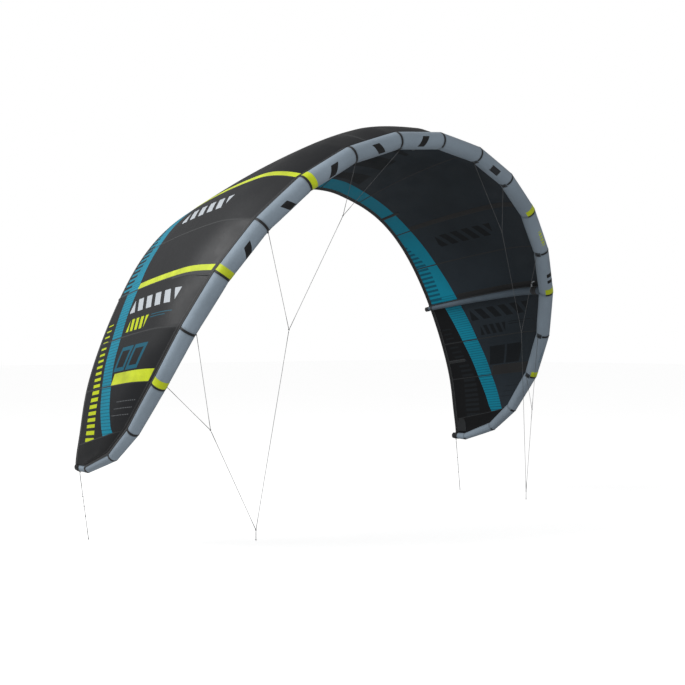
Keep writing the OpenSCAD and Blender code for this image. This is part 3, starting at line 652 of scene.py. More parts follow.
def dacron_look(name, colour, prints):
    """Woven sailcloth of the tube and struts. On the tube, painted shade darkens the cloth beside each
    seam.
    """
    look = Look(name, specular=0.35, sheen=0.08)
    run, t = look.value("run"), look.value("station")
    tone = look.tint(colour, low=0.88, high=1.10, scale=2.5, fine=260.0)
    if prints:
        tone = tube_marks(look, t, look.value("angle"), tone)
        # painted shade: the tube's colour is darkened towards each seam, down to 0.28 of its tone
        part = look.math("FRACT", look.math("ADD", t, 0.5))
        near_seam = look.math("ABSOLUTE", look.math("SUBTRACT", part, 0.5))
        tone = look.mix(look.ranged(near_seam, 0.0, SEAM_SHADE, 0.55, 0.0), tone, scaled(colour, 0.28))
    look.put(look.surface.inputs["Roughness"], look.varied(14.0, 0.55, 0.72))
    look.add_height(look.weave(run, look.math("MULTIPLY", t, float(SEGMENTS[0])), 0.0016), 0.4)
    look.add_height(look.noise(420.0, 4.0), 0.9)
    look.add_height(look.noise(14.0, 3.0), 2.0)
    return look.finish(tone, bump=0.4, distance=0.0008)


def tube_marks(look, t, angle, tone):
    """Plain dark blocks, bright bars and short lines, in place of the words on the tube."""
    for middle, lean in TUBE_BLOCKS:
        x = look.math("ADD", t, look.math("MULTIPLY", angle, lean * BLOCK_LEAN))
        at = middle + lean * BLOCK_LEAN * BLOCK_TURN
        mark = look.window(x, (at - BLOCK_HALF, at + BLOCK_HALF), angle, (BLOCK_LOW, BLOCK_HIGH))
        tone = look.mix(mark, tone, INK)
    pair = look.both(look.window(t, (4.45, 4.72), angle, (-125.0, -60.0)), look.repeat(t, 0.15, 0.55))
    tone = look.mix(pair, tone, INK)
    row = look.both(look.window(t, (3.45, 3.80), angle, (-118.0, -88.0)), look.repeat(t, 0.07, 0.55))
    tone = look.mix(row, tone, LIME)
    for at in (-112.0, -104.0):
        tone = look.mix(look.window(t, (6.30, 6.62), angle, (at, at + 2.5)), tone, TEAL_DARK)
    return tone


def tape_look(name, colour, thread=THREAD, roughness=0.6):
    """Webbing and folded tape with rows of stitches."""
    look = Look(name, roughness, 0.4, 0.15)
    tone = look.stitches(look.tint(colour, 0.8, 1.25, 8.0), thread)
    look.add_height(look.weave(look.value("run"), look.value("side"), 0.0012), 0.3)
    look.add_height(look.noise(240.0), 0.5)
    return look.finish(tone, 0.4, 0.0006)


BRAID = 0.004  # length of one turn of the braid
BRAID_WAVES = 1570.0


def cord_look(name, colour):
    """Braided line: a diamond pattern from length and turn, with painted shade darkening the grooves of
    the braid.
    """
    look = Look(name, 0.55, 0.4, 0.2)
    run, turn = look.value("run"), look.value("turn")
    twist = look.math("MULTIPLY", turn, BRAID)
    one = look.math("SINE", look.math("MULTIPLY", look.math("ADD", run, twist), BRAID_WAVES))
    two = look.math("SINE", look.math("MULTIPLY", look.math("SUBTRACT", run, twist), BRAID_WAVES))
    braid = look.math("MAXIMUM", one, two)
    look.add_height(braid, 0.6)
    # painted shade: the grooves of the braid are darkened to 0.6 of the line's colour, and the ridges
    # keep it
    ridge = look.ranged(braid, -1.0, 1.0, 0.0, 1.0)
    tone = look.mix(ridge, scaled(colour, 0.6), look.tint(colour))
    return look.finish(tone, 0.6, 0.0004)


def moulded_look(name, colour, roughness=0.42):
    """Moulded plastic or rubber with a fine texture and rubbed patches."""
    look = Look(name, specular=0.45)
    rubbed = look.varied(90.0, roughness - 0.1, roughness + 0.12)
    look.put(look.surface.inputs["Roughness"], rubbed)
    look.add_height(look.noise(900.0, 2.0), 0.5)
    worn = look.ranged(look.noise(45.0, 5.0), 0.58, 0.72, 0.0, 0.35)
    tone = look.mix(worn, look.tint(colour, 0.9, 1.1, 20.0), tuple(0.5 * c + 0.03 for c in colour))
    return look.finish(tone, 0.25, 0.0003)


def film_look(name, colour):
    """Thin smooth film of the bladders."""
    look = Look(name, 0.25, 0.5, coat=0.3)
    look.add_height(look.noise(30.0, 3.0), 1.5)
    return look.finish(look.tint(colour, 0.95, 1.05, 6.0), 0.3, 0.001)


LOOKS = {
    "outer": canopy_look("ripstop_outer", False),
    "inner": canopy_look("ripstop_inner", True),
    "tube": dacron_look("dacron_tube", DACRON, True),
    "strut": dacron_look("dacron_strut", DACRON_DARK, False),
    "black": tape_look("black_tape", INK),
    "hem": tape_look("black_hem", INK, (0.13, 0.14, 0.15)),
    "seam": tape_look("seam_tape", (0.009, 0.011, 0.013)),
    "bright": tape_look("bright_tape", LIME, (0.40, 0.47, 0.02)),
    "patch": tape_look("reinforcement", (0.010, 0.012, 0.014), (0.045, 0.05, 0.055)),
    "loop_patch": tape_look("loop_patch", (0.045, 0.055, 0.065), (0.09, 0.10, 0.11)),
    "label": tape_look("label_plate", (0.012, 0.014, 0.018), PALE),
    "cord": cord_look("grey_line", (0.11, 0.115, 0.12)),
    "dark_cord": cord_look("dark_line", (0.05, 0.053, 0.058)),
    "tail": cord_look("tail_line", (0.10, 0.105, 0.11)),
    "hard": moulded_look("black_plastic", (0.012, 0.012, 0.013)),
    "rubber": moulded_look("black_rubber", (0.010, 0.010, 0.011), 0.55),
    "grey": moulded_look("grey_plastic", (0.22, 0.235, 0.25)),
    "lever": moulded_look("lever_plastic", (0.030, 0.031, 0.034), 0.35),
    "hose": moulded_look("hose_rubber", (0.42, 0.44, 0.46), 0.4),
    "film": film_look("bladder_film", (0.66, 0.70, 0.74)),
    "batten": film_look("batten_rod", (0.45, 0.46, 0.42)),
}


def dress(piece, *looks, body="wing", replaces=()):
    """Gives a new piece its materials, its body and the CAD nodes it stands for."""
    for key in looks:
        piece.data.materials.append(LOOKS[key])
    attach(piece, body)
    if replaces:
        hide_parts(*replaces)


SIDES = (("right", 1), ("left", -1))


# ---- leading-edge tube ----
TUBE_TURNS = np.linspace(-180, 180, 73)[:-1]
SEGMENT_PARTS = np.array(
    [0, 0.012, 0.03, 0.06, 0.11, 0.18, 0.28, 0.4, 0.5, 0.6, 0.72, 0.82, 0.89, 0.94, 0.97, 0.988]
)
PINCH, SWELL, CREASE = 0.0014, 0.0010, 0.0009
CREASE_AT, CREASE_END = 0.06, 0.3
TAPE_ANGLES = np.linspace(-150, 32, 47)


def tube_stations(first, last):
    return np.append(np.concatenate([k + SEGMENT_PARTS for k in range(first, last)]), last)


def tube_lift(t, angle):
    """The air pulls each segment round between its seams, and the cloth creases at the bends."""
    part = np.abs((t + 0.5) % 1 - 0.5)
    lift = SWELL * smooth(part / 0.35) - PINCH * np.exp(-((part / 0.03) ** 2))
    turn, seam = np.radians(angle), np.round(t)
    fold = np.sin(turn * 11 + 2.1 * seam) + 0.6 * np.sin(turn * 19 + 5 * seam)
    inner_side = 0.35 + 0.65 * smooth((np.abs(angle) - 60) / 80)
    return lift + CREASE * fold * inner_side * near(part, CREASE_AT, CREASE_AT) * (part < CREASE_END)


def leading_edge():
    t = tube_stations(-11, 11)
    grid_t, grid_a = np.meshgrid(t, TUBE_TURNS, indexing="ij")
    rings = tube_point(grid_t, tube_lift(grid_t, grid_a), grid_a)
    values = {
        "station": [grid_t],
        "angle": [grid_a],
        "run": [np.radians(grid_a) * np.interp(np.abs(grid_t), RING, RADIUS)],
    }
    dress(shells("le_tube", [rings], values=values), "tube", replaces=("le_casing",))


SEAM_RING_W, SEAM_RING_LIFT = 0.018, 0.0012
LABEL_T, COVER_T = 0.0019, 0.0036
UNDER_SEAM = -0.003
UNDER_TUBE = -0.004  # the inner side of a strip on the tube, well inside the tube's skin


def tape_profile(width, lift):
    """Stations and lifts across a tape with soft edges."""
    x = np.array([-0.5, -0.42, -0.2, 0, 0.2, 0.42, 0.5])
    return x * width, lift * (1 - (2 * np.abs(x)) ** 6)


def seam_tapes():
    """A narrow tape over each tube seam, on its front and outer side."""
    across, lift = tape_profile(SEAM_RING_W, SEAM_RING_LIFT)
    parts = []
    for k in range(-10, 11):
        t = k + across / SEGMENTS[min(abs(k), 10)]
        parts.append((t, TAPE_ANGLES, -0.0004 + lift, UNDER_TUBE))
    piece = tube_piece("le_seam_rings", parts)
    dress(piece, "black", replaces=("le_seam_tapes",))


def accent_bands():
    parts = []
    for k in BAND_RINGS:
        for side in (1, -1):
            t = side * np.linspace(k - TUBE_BAND_GAP - BAND_W, k - TUBE_BAND_GAP, 7)
            parts.append((t, TAPE_ANGLES, 0.0016, UNDER_TUBE))
    piece = tube_piece("le_bright_bands", parts)
    dress(piece, "bright", replaces=("le_accent_bands",))


def label_plate():
    plate = (np.linspace(1.36, 1.62, 9), np.linspace(-150, -105, 13), LABEL_T, UNDER_SEAM)
    dress(tube_piece("le_plate", [plate]), "label", replaces=("le_label",))


def seam_cover():
    """The black tape where the cloth meets the tube, on the tube's side of the seam."""
    t = tube_stations(-10, 10)
    parts = [(t, np.linspace(8, SEAM_ANGLE + 4, 15), COVER_T, UNDER_SEAM)]
    dress(tube_piece("le_seam_cover", parts), "hem")


# ---- canopy ----
def wing_stations(first, last, step=0.05):
    """Stations with every tube seam among them."""
    marks = np.unique(np.concatenate([[first, last], np.arange(np.ceil(first), np.floor(last) + 1)]))
    rows = []
    for a, b in zip(marks[:-1], marks[1:]):
        rows.append(np.linspace(a, b, max(2, int(np.ceil((b - a) / step)) + 1))[:-1])
    return np.append(np.concatenate(rows), last)


def chord_row(low, high, count):
    return np.linspace(low, high, count, axis=-1)


def canopy_sheet():
    t = wing_stations(-SPAN_END, SPAN_END)
    u = chord_row(np.full(len(t), -0.012), before_te(t, 0.004), 61)
    piece = cloth_piece("canopy_sheet", [(t, u, CLOTH, -CLOTH)], two_sided=True)
    dress(piece, "outer", "inner", replaces=("canopy",))


def hems():
    t = wing_stations(-SPAN_END, SPAN_END)
    front = chord_row(np.full(len(t), -0.010), behind_le(t, LE_HEM_W), 5)
    piece = cloth_piece("le_hem_tape", [(t, front, LE_HEM_T, -LE_HEM_T)])
    dress(piece, "hem", replaces=("le_hem",))
    rear = chord_row(before_te(t, TE_HEM_W), np.ones(len(t)), 6)
    piece = cloth_piece("te_hem_fold", [(t, rear, TE_HEM_T, -TE_HEM_T)])
    dress(piece, "hem", replaces=("te_hem",))


def underside(layer):
    top, base = layer
    return -base, -top


def strip(t, width, front, rear, top, base, count=33, across=4):
    """A chordwise strip around station t, between two shares."""
    rows = t + np.linspace(-0.5, 0.5, across) * width / np.interp(abs(t), RING[1:] - 0.5, SEGMENTS)
    return rows, np.broadcast_to(np.linspace(front, rear, count), (across, count)), top, base


def panel_seams():
    """Flat-felled seams between the cloth panels, raised on both faces."""
    parts, slanted = [], []
    faces = (SEAM_LAYER, underside(SEAM_LAYER))
    for k in PANEL_SEAMS:
        for side in (1, -1) if k else (1,):
            rear = float(before_te(k, 0.02))
            parts += [strip(side * k, FELL_W, 0.005, rear, *face) for face in faces]
    for side in (1, -1):
        u = np.linspace(0.01, 0.93, 31)
        rows = np.stack([side * (TIP_LINE_T + TIP_LINE_SLANT * u + d) for d in (-0.02, 0.0, 0.02)])
        slanted += [slanted_rows(rows, u, *face) for face in faces]
    made = [cloth_rows(*part) for part in parts] + slanted
    dress(joined("panel_seam_tapes", made), "seam")


def slanted_rows(t, u, top, base):
    """A strip whose station changes along the chord."""
    grid = np.broadcast_to(u, t.shape)
    rings = folded(wing_point(t, grid, top), wing_point(t, grid, base))
    run = grid * chord_at(t)
    side = np.broadcast_to(np.array([0.0, 0.006, 0.0])[:, None], t.shape)
    values = {key: t for key in ("station", "share", "te", "stripe", "ladder", "tip", "across")}
    values.update(run=run, side=side)
    return rings, doubled(values)


def chord_bands():
    """Bright bands on the outer face and dark ones on the inner face, from tube to stripe."""
    bright, dark = [], []
    for k in BAND_RINGS:
        for side in (1, -1):
            rear = float(before_te(k, stripe_front(np.array(float(k)))))
            width = BAND_W * (2 if k == BAND_RINGS[-1] else 1)
            rows = side * np.linspace(k - width - BAND_GAP, k - BAND_GAP, 4)
            low = np.array([float(behind_le(k, LE_HEM_W + 0.002))] * 4)
            across = chord_row(low, np.full(4, rear), 33)
            bright.append((rows, across, *BAND_LAYER))
            rows = side * np.linspace(k - INNER_BANDS[k], k, 4)
            dark.append((rows, across, *underside(BAND_LAYER)))
    piece = cloth_piece("canopy_bright_bands", bright)
    dress(piece, "bright", replaces=("chord_bands",))
    dress(cloth_piece("canopy_inner_bands", dark), "black")


LOAD_TAPE_W, LOAD_TAPE_END = 0.055, 0.34  # in stations, and as a share of the chord


def strut_tape():
    """A black tape beside the strut's bright band, on the outer face near the tube."""
    parts = []
    for side in (1, -1):
        low = float(behind_le(STRUT_T, LE_HEM_W))
        across = chord_row(np.full(4, low), np.full(4, LOAD_TAPE_END), 20)
        parts.append((side * (STRUT_T + np.linspace(0, LOAD_TAPE_W, 4)), across, *TAPE_LAYER))
    dress(cloth_piece("strut_load_tape", parts), "patch")


POUCH_L, POUCH_HALF, POUCH_RISE = 0.19, 0.017, 0.0028


def pill(side, at, top, base):
    """A pocket with a round front end, from the trailing hem forward."""
    length, half = POUCH_L, POUCH_HALF
    nose = length - half + half * np.sin(np.radians(np.arange(15, 91, 15)))
    x = np.concatenate([np.linspace(0, length - half, 9), nose])
    reach = np.minimum(half, np.sqrt(np.maximum(1e-7, half**2 - np.maximum(0, x - length + half) ** 2)))
    metres = float(np.interp(at, RING[1:] - 0.5, SEGMENTS))
    v = np.linspace(-1, 1, 9)
    t = side * (at + v[:, None] * reach[None] / metres)
    share = 1 - (TE_HEM_W - 0.004 + x[None]) / chord_at(t)
    crown = (1 - v[:, None] ** 4) * np.ones_like(x)[None]
    rings = folded(wing_point(t, share, base), wing_point(t, share, top - POUCH_RISE * crown))
    edge = (1 - np.abs(v))[:, None] * reach[None]
    front_gap = np.sqrt(np.maximum(0, (length - x)))[None] * 0.1 + 0 * v[:, None]
    values = {"run": x[None] + 0 * t, "side": np.minimum(edge, front_gap)}
    return rings, doubled(values)


def batten_pockets():
    made = [pill(side, at, -0.0012, -0.0004) for at in BATTENS for side in (1, -1)]
    piece = joined("batten_pouches", made)
    dress(piece, "patch", replaces=("batten_pockets", "battens"))


TIP_PATCH_FROM, TIP_PATCH_TO, TIP_PATCH_L, TIP_PATCH_W = 8.62, 9.75, 0.35, 0.085


def tip_patches():
    """A rounded reinforcement inside each wing tip, at the trailing corner."""
    made = []
    for side in (1, -1):
        v = np.linspace(0, 1, 17)
        w = np.linspace(0, 1, 9)
        rounded = TIP_PATCH_FROM + 0.30 * (2 * w - 1) ** 4
        t = side * (rounded[:, None] * (1 - v[None]) + TIP_PATCH_TO * v[None])
        te = 0.038 + TIP_PATCH_W * w[:, None] + 0 * v[None]
        share = 1 - te / chord_at(t)
        rings = folded(wing_point(t, share, -0.0004), wing_point(t, share, -0.0022))
        edge = np.minimum(w, 1 - w)[:, None] * TIP_PATCH_W + 0 * v[None]
        along = v[None] * TIP_PATCH_L
        values = {"run": along + 0 * t, "side": np.minimum(edge, along)}
        made.append((rings, doubled(values)))
    piece = joined("tip_reinforcements", made)
    dress(piece, "patch", replaces=("tip_patches",))


# ---- struts ----
STRUT_LOW = float(STRUT_FRONT_IN / CHORD[np.searchsorted(STATIONS, STRUT_T)])
STRUT_HIGH = 1 + float(STRUT_PAST_TE / CHORD[np.searchsorted(STATIONS, STRUT_T)])


def strut_frame(f):
    """Middle, direction, side and up of the right strut at parts f of its length."""
    def middle(x):
        radius = STRUT_FRONT_R + (STRUT_REAR_R - STRUT_FRONT_R) * x
        base = flat_strut(STRUT_LOW + (STRUT_HIGH - STRUT_LOW) * x)
        return base - (STRUT_GAP + radius)[:, None] * STRUT_OUT
    heading = unit(middle(f + 0.01) - middle(f - 0.01))
    side = unit(np.cross(STRUT_OUT, np.array([0.0, 1.0, 0.0])))
    side = np.broadcast_to(side, heading.shape)
    return middle(f), heading, side, np.cross(heading, side)


def flat_strut(u):
    return flat_wing(np.array([float(STRUT_T)]), u)[0]


STRUT_OUT = unit(OUT[STRUT_T])


def strut_ring(f, lift, angles):
    centre, _, side, up = strut_frame(f)
    radius = STRUT_FRONT_R + (STRUT_REAR_R - STRUT_FRONT_R) * np.clip(f, 0, 1)
    a = np.radians(angles)
    turn = np.cos(a)[None, :, None] * side[:, None] + np.sin(a)[None, :, None] * up[:, None]
    return centre[:, None] + (radius[:, None] + lift)[..., None] * turn


def mirror_x(points, sign):
    return points * np.array([sign, 1.0, 1.0])


STRUT_FLARE, STRUT_CREASE = 0.012, 0.0006


def strut(name, sign):
    """The strut tube, run on into the leading edge where it is sewn in."""
    f = np.concatenate([np.linspace(-0.05, 0.0, 8)[:-1], np.linspace(0, 1, 61)])
    angles = np.linspace(0, 360, 41)[:-1]
    grid_f, grid_a = np.meshgrid(f, angles, indexing="ij")
    flare = STRUT_FLARE * smooth(-grid_f / 0.045)
    crease = STRUT_CREASE * np.sin(np.radians(grid_a) * 9 + 1.3) * np.exp(-((grid_f / 0.03) ** 2))
    rings = mirror_x(strut_ring(f, flare + crease, angles), sign)
    values = {"run": [grid_a * 0.0006], "station": [grid_f * 3 + 0.25], "angle": [grid_a]}
    piece = shells("strut_tube_" + name, [rings], values=values)
    dress(piece, "strut", replaces=("strut_casing_" + name,))


def strut_band(f, lift, base):
    angles = np.linspace(0, 360, 41)[:-1]
    outer = strut_ring(f, lift, angles)
    inner = strut_ring(f, base, angles)
    return np.concatenate([outer, inner[::-1]], 0).transpose(1, 0, 2)


CUFFS = ((0.004, 0.055), (0.945, 0.958))  # in parts of the strut's length


def strut_rings_piece():
    """Sewn cuffs at the front of each strut and a tape near its rear end."""
    made = []
    for _, sign in SIDES:
        for first, last in CUFFS:
            f = np.linspace(first, last, 6)
            made.append(mirror_x(strut_band(f, 0.0012, 0.0002), sign))
    run = [np.repeat((np.arange(m.shape[0]) * 0.0058)[:, None], m.shape[1], 1) for m in made]
    rows = np.array([0, 1, 2, 2, 1, 0, 0, 1, 2, 2, 1, 0])[None] * 0.003
    side = [np.repeat(rows, m.shape[0], 0) for m in made]
    piece = shells("strut_cuffs", made, closed=True, values={"run": run, "side": side})
    dress(piece, "black", replaces=("strut_collars",))


FLAP_T = 0.0010


def strut_flaps():
    """The two flaps that sew each strut to the canopy."""
    f = np.linspace(0.0, 0.985, 50)
    u = STRUT_LOW + (STRUT_HIGH - STRUT_LOW) * f
    radius = STRUT_FRONT_R + (STRUT_REAR_R - STRUT_FRONT_R) * f
    edge = np.array([0, 0.006, 0])
    values = {
        "run": np.repeat((f * 1.3)[:, None], 6, 1),
        "side": np.repeat(np.append(edge, edge)[None], len(f), 0),
    }
    made = []
    for _, sign in SIDES:
        for way, angle in ((-1, 62.0), (1, 118.0)):
            low = strut_ring(f, 0.0004, np.array([angle]))[:, 0]
            side = strut_frame(f)[2]
            toward = -way * 0.017 * side
            high = low + toward + (STRUT_GAP + 0.001 + 0.12 * radius)[:, None] * STRUT_OUT
            top = wing_point(np.full(len(u), float(STRUT_T)), np.minimum(u, 0.996), -0.0012)
            rise = ((top - high) @ STRUT_OUT)[:, None] * STRUT_OUT
            high = high + rise
            middle, down = (low + high) / 2, FLAP_T * STRUT_OUT
            rings = np.stack([low, middle, high, high - down, middle - down, low - down], 1)
            made.append((mirror_x(rings, sign), values))
    dress(joined("strut_flaps", made), "patch")


# ---- lines ----
def line_path(p, q, count=24):
    p, q = np.asarray(p, float), np.asarray(q, float)
    return p + np.linspace(0, 1, count)[:, None] * (q - p)


def spliced(p, q, radius=LINE_R):
    """A line with its doubled, thicker ends."""
    length = np.linalg.norm(np.asarray(q) - np.asarray(p))
    end = np.array([0, 0.02, 0.075, 0.09])
    x = np.concatenate([end, np.linspace(0.11, length - 0.11, 18), length - end[::-1]])
    path = np.asarray(p) + (x / length)[:, None] * (np.asarray(q) - np.asarray(p))
    from_end = np.minimum(x, length - x)
    return path, radius * (1 + 0.35 * (1 - smooth((from_end - 0.07) / 0.03)))


def knot_path(centre, size, lean=0.0):
    """A closed overhand knot."""
    a = np.linspace(0, 2 * np.pi, 49)[:-1]
    x = np.sin(a) + 2 * np.sin(2 * a)
    y = np.cos(a) - 2 * np.cos(2 * a)
    z = -np.sin(3 * a)
    flat, rise = y / 3, z * 0.5
    points = np.stack([x / 3, flat * np.cos(lean) - rise * np.sin(lean), flat * np.sin(lean) + rise], 1)
    return np.asarray(centre) + size * points


def box_middle(low, high):
    return np.array((Vector(low) + Vector(high)) / 2)


def eye_low(k):
    """Low end of the bridle loop under tube seam k, on the right."""
    return tube_point(float(k), EYE_DROP, 180.0)


JOINTS = {j["name"]: j for j in frame["joints"]}


def joint_at(name):
    return np.array(JOINTS[name]["pos_m"])


def bridle_points():
    """The bridle's junctions on the right, from the frame's joints and knots."""
    middle = joint_at("bridle_swing_right")
    axis = np.array(JOINTS["bridle_swing_right"]["axis"])
    foot = joint_at("front_tail_swing_right")
    low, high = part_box("bridle_knots_right")
    axis = axis * np.sign(axis[0])
    lowest = middle + axis * (high.x - KNOT_R - middle[0]) / axis[0]
    first = np.array([low.x + KNOT_R, low.y + KNOT_R, high.z - KNOT_R])
    return first, middle, lowest, foot


FRONT, MID, LOW, FOOT = bridle_points()
EYE_DROP = 0.0165
KNOT_END = KNOT_R + 0.0004
HINGE_GAP = 0.0025
COIL_R, STOPPER_R, COIL_CORD = 0.0042, 0.0034, 0.0016
STOPPER_END = 0.0048
TAIL_KNOTS = (0.35, 0.5, 0.65, 1.0)
WEB_T, LOOP_W, LOOP_SPREAD = 0.0011, 0.010, 0.020
LOOP_PINCH, LOOP_SWING = 0.82, 0.0022
STRAP_AT, STRAP_HALF, STRAP_OUT, STRAP_IN, STRAP_TO_EYE = 0.030, 0.007, 0.0014, 0.0010, 0.0085


def toward(p, q, distance):
    p, q = np.asarray(p), np.asarray(q)
    return p + distance * (q - p) / np.linalg.norm(q - p)


def coil(centre, size, lean, sign, radius=COIL_CORD):
    """A knot's path, on either side, and its radius."""
    return mirror_x(knot_path(centre, size, lean), sign), radius


def upper_bridle(name, sign):
    cords = []
    for k, q in zip(EYE_RINGS, (FRONT, FRONT, MID, LOW, LOW)):
        p = eye_low(k)
        path, radius = spliced(toward(p, q, 0.001), toward(q, p, 0.004))
        cords.append((mirror_x(path, sign), radius))
    path, radius = spliced(toward(FRONT, MID, 0.004), toward(MID, FRONT, 0.004))
    cords.append((mirror_x(path, sign), radius))
    piece = cord_piece("bridle_upper_lines_" + name, cords)
    dress(piece, "cord", replaces=("bridle_upper_" + name,))
    knots = [coil(p, COIL_R, 0.7 * k, sign) for k, p in enumerate((FRONT, MID, LOW))]
    piece = cord_piece("bridle_knot_coils_" + name, knots, closed=True)
    dress(piece, "cord", replaces=("bridle_knots_" + name,))


def lower_bridle(name, sign):
    cords = []
    for p in (MID, LOW):
        path, radius = spliced(toward(p, FOOT, KNOT_END + HINGE_GAP), toward(FOOT, p, 0.002))
        cords.append((mirror_x(path, sign), radius))
    piece = cord_piece("bridle_lower_lines_" + name, cords)
    body = "bridle_" + name
    dress(piece, "cord", body=body, replaces=("bridle_lower_" + name,))
    piece = cord_piece("bridle_foot_knot_" + name, [coil(FOOT, COIL_R, 0.4, sign)], closed=True)
    dress(piece, "cord", body=body)


def front_tail(name, sign):
    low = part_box("front_pigtail_right")[0]
    end = np.array([FOOT[0], FOOT[1], low.z + STOPPER_END])
    path = line_path(toward(FOOT, end, 0.0064), toward(end, FOOT, 0.003), 12)
    piece = cord_piece("front_tail_line_" + name, [(mirror_x(path, sign), TAIL_R)])
    body = "front_tail_" + name
    dress(piece, "dark_cord", body=body, replaces=("front_pigtail_" + name,))
    piece = cord_piece("front_tail_stopper_" + name, [coil(end, STOPPER_R, 0.2, sign)], closed=True)
    dress(piece, "dark_cord", body=body)


def rear_tail(name, sign):
    top = joint_at("rear_tail_swing_right")
    low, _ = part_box("rear_pigtail_right")
    end = np.array(low) + STOPPER_END
    path, radius = spliced(toward(top, end, 0.0022), toward(end, top, 0.003), TAIL_R)
    body = "rear_tail_" + name
    piece = cord_piece("rear_tail_line_" + name, [(mirror_x(path, sign), radius)])
    dress(piece, "tail", body=body, replaces=("rear_pigtail_" + name,))
    knots = [coil(top + k * (end - top), STOPPER_R, k, sign, 0.0015) for k in TAIL_KNOTS]
    piece = cord_piece("rear_tail_knots_" + name, knots, closed=True)
    dress(piece, "dark_cord", body=body)


def webbing_loop(base, drop, across, width, spread):
    """A flat loop of webbing from a base point, down by drop, with its width along across."""
    depth = np.linalg.norm(drop)
    down = drop / depth
    aside = unit(np.cross(down, across))
    a = np.linspace(-1, 1, 25)
    swing = np.sin(np.pi * a) * LOOP_SWING
    x = a * spread * (1 - smooth(1 - np.abs(a)) * LOOP_PINCH) + swing
    y = depth * smooth(1 - np.abs(a)) ** 0.8
    path = base + x[:, None] * aside + y[:, None] * down
    heading = unit(np.gradient(path, axis=0))
    normal = np.cross(heading, across)
    half, face = across * width / 2, path + WEB_T * normal
    rings = np.stack([path - half, path, path + half, face + half, face, face - half], 1)
    length = np.concatenate([[0], np.cumsum(np.linalg.norm(np.diff(path, axis=0), axis=1))])
    values = {
        "run": np.repeat(length[:, None], 6, 1),
        "side": np.repeat(np.array([0, width / 2, 0, 0, width / 2, 0])[None], len(path), 0),
    }
    return rings, values


def bridle_tabs(name, sign):
    """Webbing loops under the tube, each sewn to a patch, for the bridle lines."""
    made = []
    for k in EYE_RINGS:
        base = tube_point(float(k), -0.001, 180.0)
        rings, values = webbing_loop(base, eye_low(k) - base, RUN[k], LOOP_W, LOOP_SPREAD)
        made.append((mirror_x(rings, sign), values))
    piece = joined("bridle_loops_" + name, made)
    dress(piece, "black", replaces=("bridle_tabs_" + name,))
    span, angles = np.linspace(-0.05, 0.05, 7), np.linspace(155, 205, 17)
    parts = [(sign * (k + span), angles, 0.0011, UNDER_TUBE) for k in EYE_RINGS]
    dress(tube_piece("bridle_loop_patches_" + name, parts), "loop_patch")


def tip_strap(name, sign):
    """A webbing strap around each tip cap that holds the rear eye."""
    low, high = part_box("rear_tab_right")
    eye_middle = box_middle(low, high)
    centre = AXIS[-1] - STRAP_AT * RUN[-1]
    radius = np.linalg.norm((eye_middle - centre) * np.array([1, 0, 1])) - STRAP_TO_EYE
    a = np.radians(np.linspace(0, 360, 49)[:-1])
    heading = RUN[-1]
    sideways = unit(np.cross(heading, np.array([0.0, 0.0, 1.0])))
    upward = np.cross(sideways, heading)
    spoke = np.cos(a)[:, None] * upward + np.sin(a)[:, None] * sideways
    outer, inner = centre + (radius + STRAP_OUT) * spoke, centre + (radius - STRAP_IN) * spoke
    half = heading * STRAP_HALF
    rings = np.stack([outer - half, outer, outer + half, inner + half, inner, inner - half], 1)
    values = {
        "run": [np.repeat((a * radius)[:, None], 6, 1)],
        "side": [np.repeat(np.array([0, STRAP_HALF, 0, 0, STRAP_HALF, 0])[None], len(a), 0)],
    }
    piece = shells("tip_strap_" + name, [mirror_x(rings, sign)], closed=True, values=values)
    dress(piece, "black")


# ---- pieces that stay as the CAD has them ----
KEPT = {
    "rubber": ("tip_cap_left", "tip_cap_right", "strut_end_cap_left", "strut_end_cap_right"),
    "film": ("le_bladder", "strut_bladder_left", "strut_bladder_right"),
    "hose": ("hose_left", "hose_right"),
    "hard": (
        "clip_body_left", "clip_body_right", "valve_base", "valve_cap", "leash_anchor",
        "rear_tab_left", "rear_tab_right",
    ),
    "grey": ("valve_insert",),
    "lever": ("clip_lever_left", "clip_lever_right"),
    "patch": ("valve_patch", "leash_loop"),
}


def dress_kept():
    for key, nodes in KEPT.items():
        for name in nodes:
            node = frame["nodes"][name]
            node.data.materials.clear()
            node.data.materials.append(LOOKS[key])
            if key in ("rubber", "hose"):
                node.data.polygons.foreach_set("use_smooth", np.ones(len(node.data.polygons), bool))
                node.data.set_sharp_from_angle(angle=np.radians(35))


# ---- the studio ----
CAMERA_BACK = Vector((-5.853, -5.507, -1.496))
CAMERA_TURN = np.radians(-41.63)
LENS = 56.73
FLOOR_GAP, FLOOR_REACH = 0.02, 60.0
FLOOR_GLOW = 0.78
SKY_LIGHT = 0.32


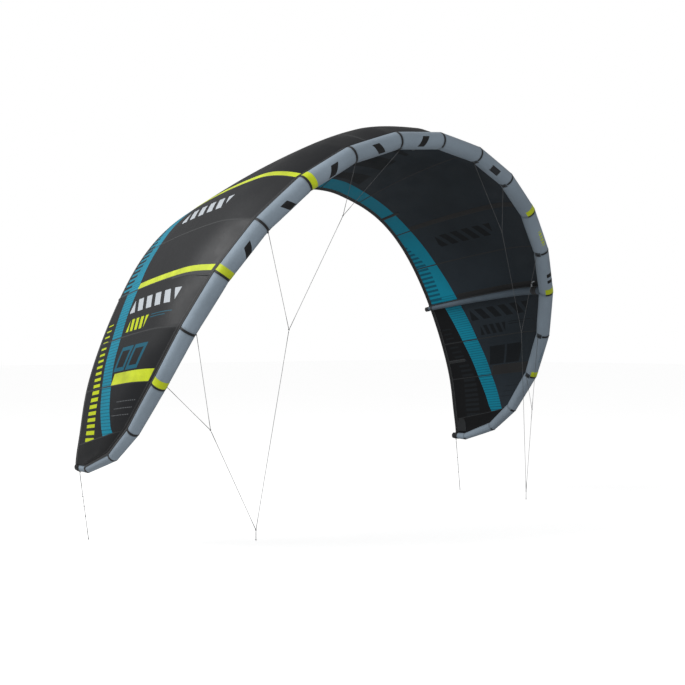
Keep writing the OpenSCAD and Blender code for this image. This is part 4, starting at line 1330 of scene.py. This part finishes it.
def studio():
    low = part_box("rear_pigtail_right")[0].z
    mesh = bpy.data.meshes.new("floor")
    corners = ((-1, -1), (1, -1), (1, 1), (-1, 1))
    points = [(x * FLOOR_REACH, y * FLOOR_REACH, low - FLOOR_GAP) for x, y in corners]
    mesh.from_pydata(points, [], [(0, 1, 2, 3)])
    floor = bpy.data.objects.new("floor", mesh)
    bpy.context.scene.collection.objects.link(floor)
    look = Look("floor_paint", 0.8, 0.1)
    look.put(look.surface.inputs["Emission Color"], (1.0, 1.0, 1.0))
    seen = look.node("LightPath").outputs["Is Camera Ray"]
    look.put(look.surface.inputs["Emission Strength"], look.math("MULTIPLY", seen, FLOOR_GLOW))
    mesh.materials.append(look.finish(look.tint((0.6, 0.6, 0.6), 0.99, 1.01, 0.5, 40.0)))
    world = bpy.data.worlds.new("studio")
    bpy.context.scene.world = world
    world.use_nodes = True
    backdrop = world.node_tree.nodes["Background"]
    backdrop.inputs[0].default_value = (1.0, 1.0, 1.0, 1.0)
    path = world.node_tree.nodes.new("ShaderNodeLightPath")
    level = world.node_tree.nodes.new("ShaderNodeMapRange")
    level.inputs["To Min"].default_value = SKY_LIGHT
    level.inputs["To Max"].default_value = 1.0
    world.node_tree.links.new(path.outputs["Is Camera Ray"], level.inputs["Value"])
    world.node_tree.links.new(level.outputs[0], backdrop.inputs[1])
    for name, place, size, power, aim in (
        ("key", (-6.0, 3.5, ARC_TOP + 3.57), 4.0, 420.0, (0.0, 0.8, ARC_TOP - 0.93)),
        ("front", (-5.0, -7.5, ARC_TOP + 1.57), 5.0, 230.0, (0.0, 0.6, ARC_TOP - 1.33)),
    ):
        lamp = bpy.data.lights.new(name, "AREA")
        lamp.size = size
        lamp.energy = power
        light = bpy.data.objects.new(name, lamp)
        turn = (Vector(aim) - Vector(place)).to_track_quat("-Z", "Y").to_matrix().to_4x4()
        light.matrix_world = Matrix.Translation(place) @ turn
        bpy.context.scene.collection.objects.link(light)
    camera = bpy.data.objects.new("camera", bpy.data.cameras.new("camera"))
    camera.data.lens = LENS
    camera.location = CAMERA_BACK + Vector((0, 0, ARC_TOP))
    camera.rotation_euler = (np.pi / 2, 0, CAMERA_TURN)
    bpy.context.scene.collection.objects.link(camera)
    bpy.context.scene.camera = camera
    bpy.context.scene.view_settings.view_transform = "Standard"


leading_edge()
seam_tapes()
accent_bands()
label_plate()
seam_cover()
canopy_sheet()
hems()
panel_seams()
chord_bands()
strut_tape()
batten_pockets()
tip_patches()
strut_rings_piece()
strut_flaps()
for side_name, side_sign in SIDES:
    strut(side_name, side_sign)
    upper_bridle(side_name, side_sign)
    lower_bridle(side_name, side_sign)
    front_tail(side_name, side_sign)
    rear_tail(side_name, side_sign)
    bridle_tabs(side_name, side_sign)
    tip_strap(side_name, side_sign)
dress_kept()
studio()
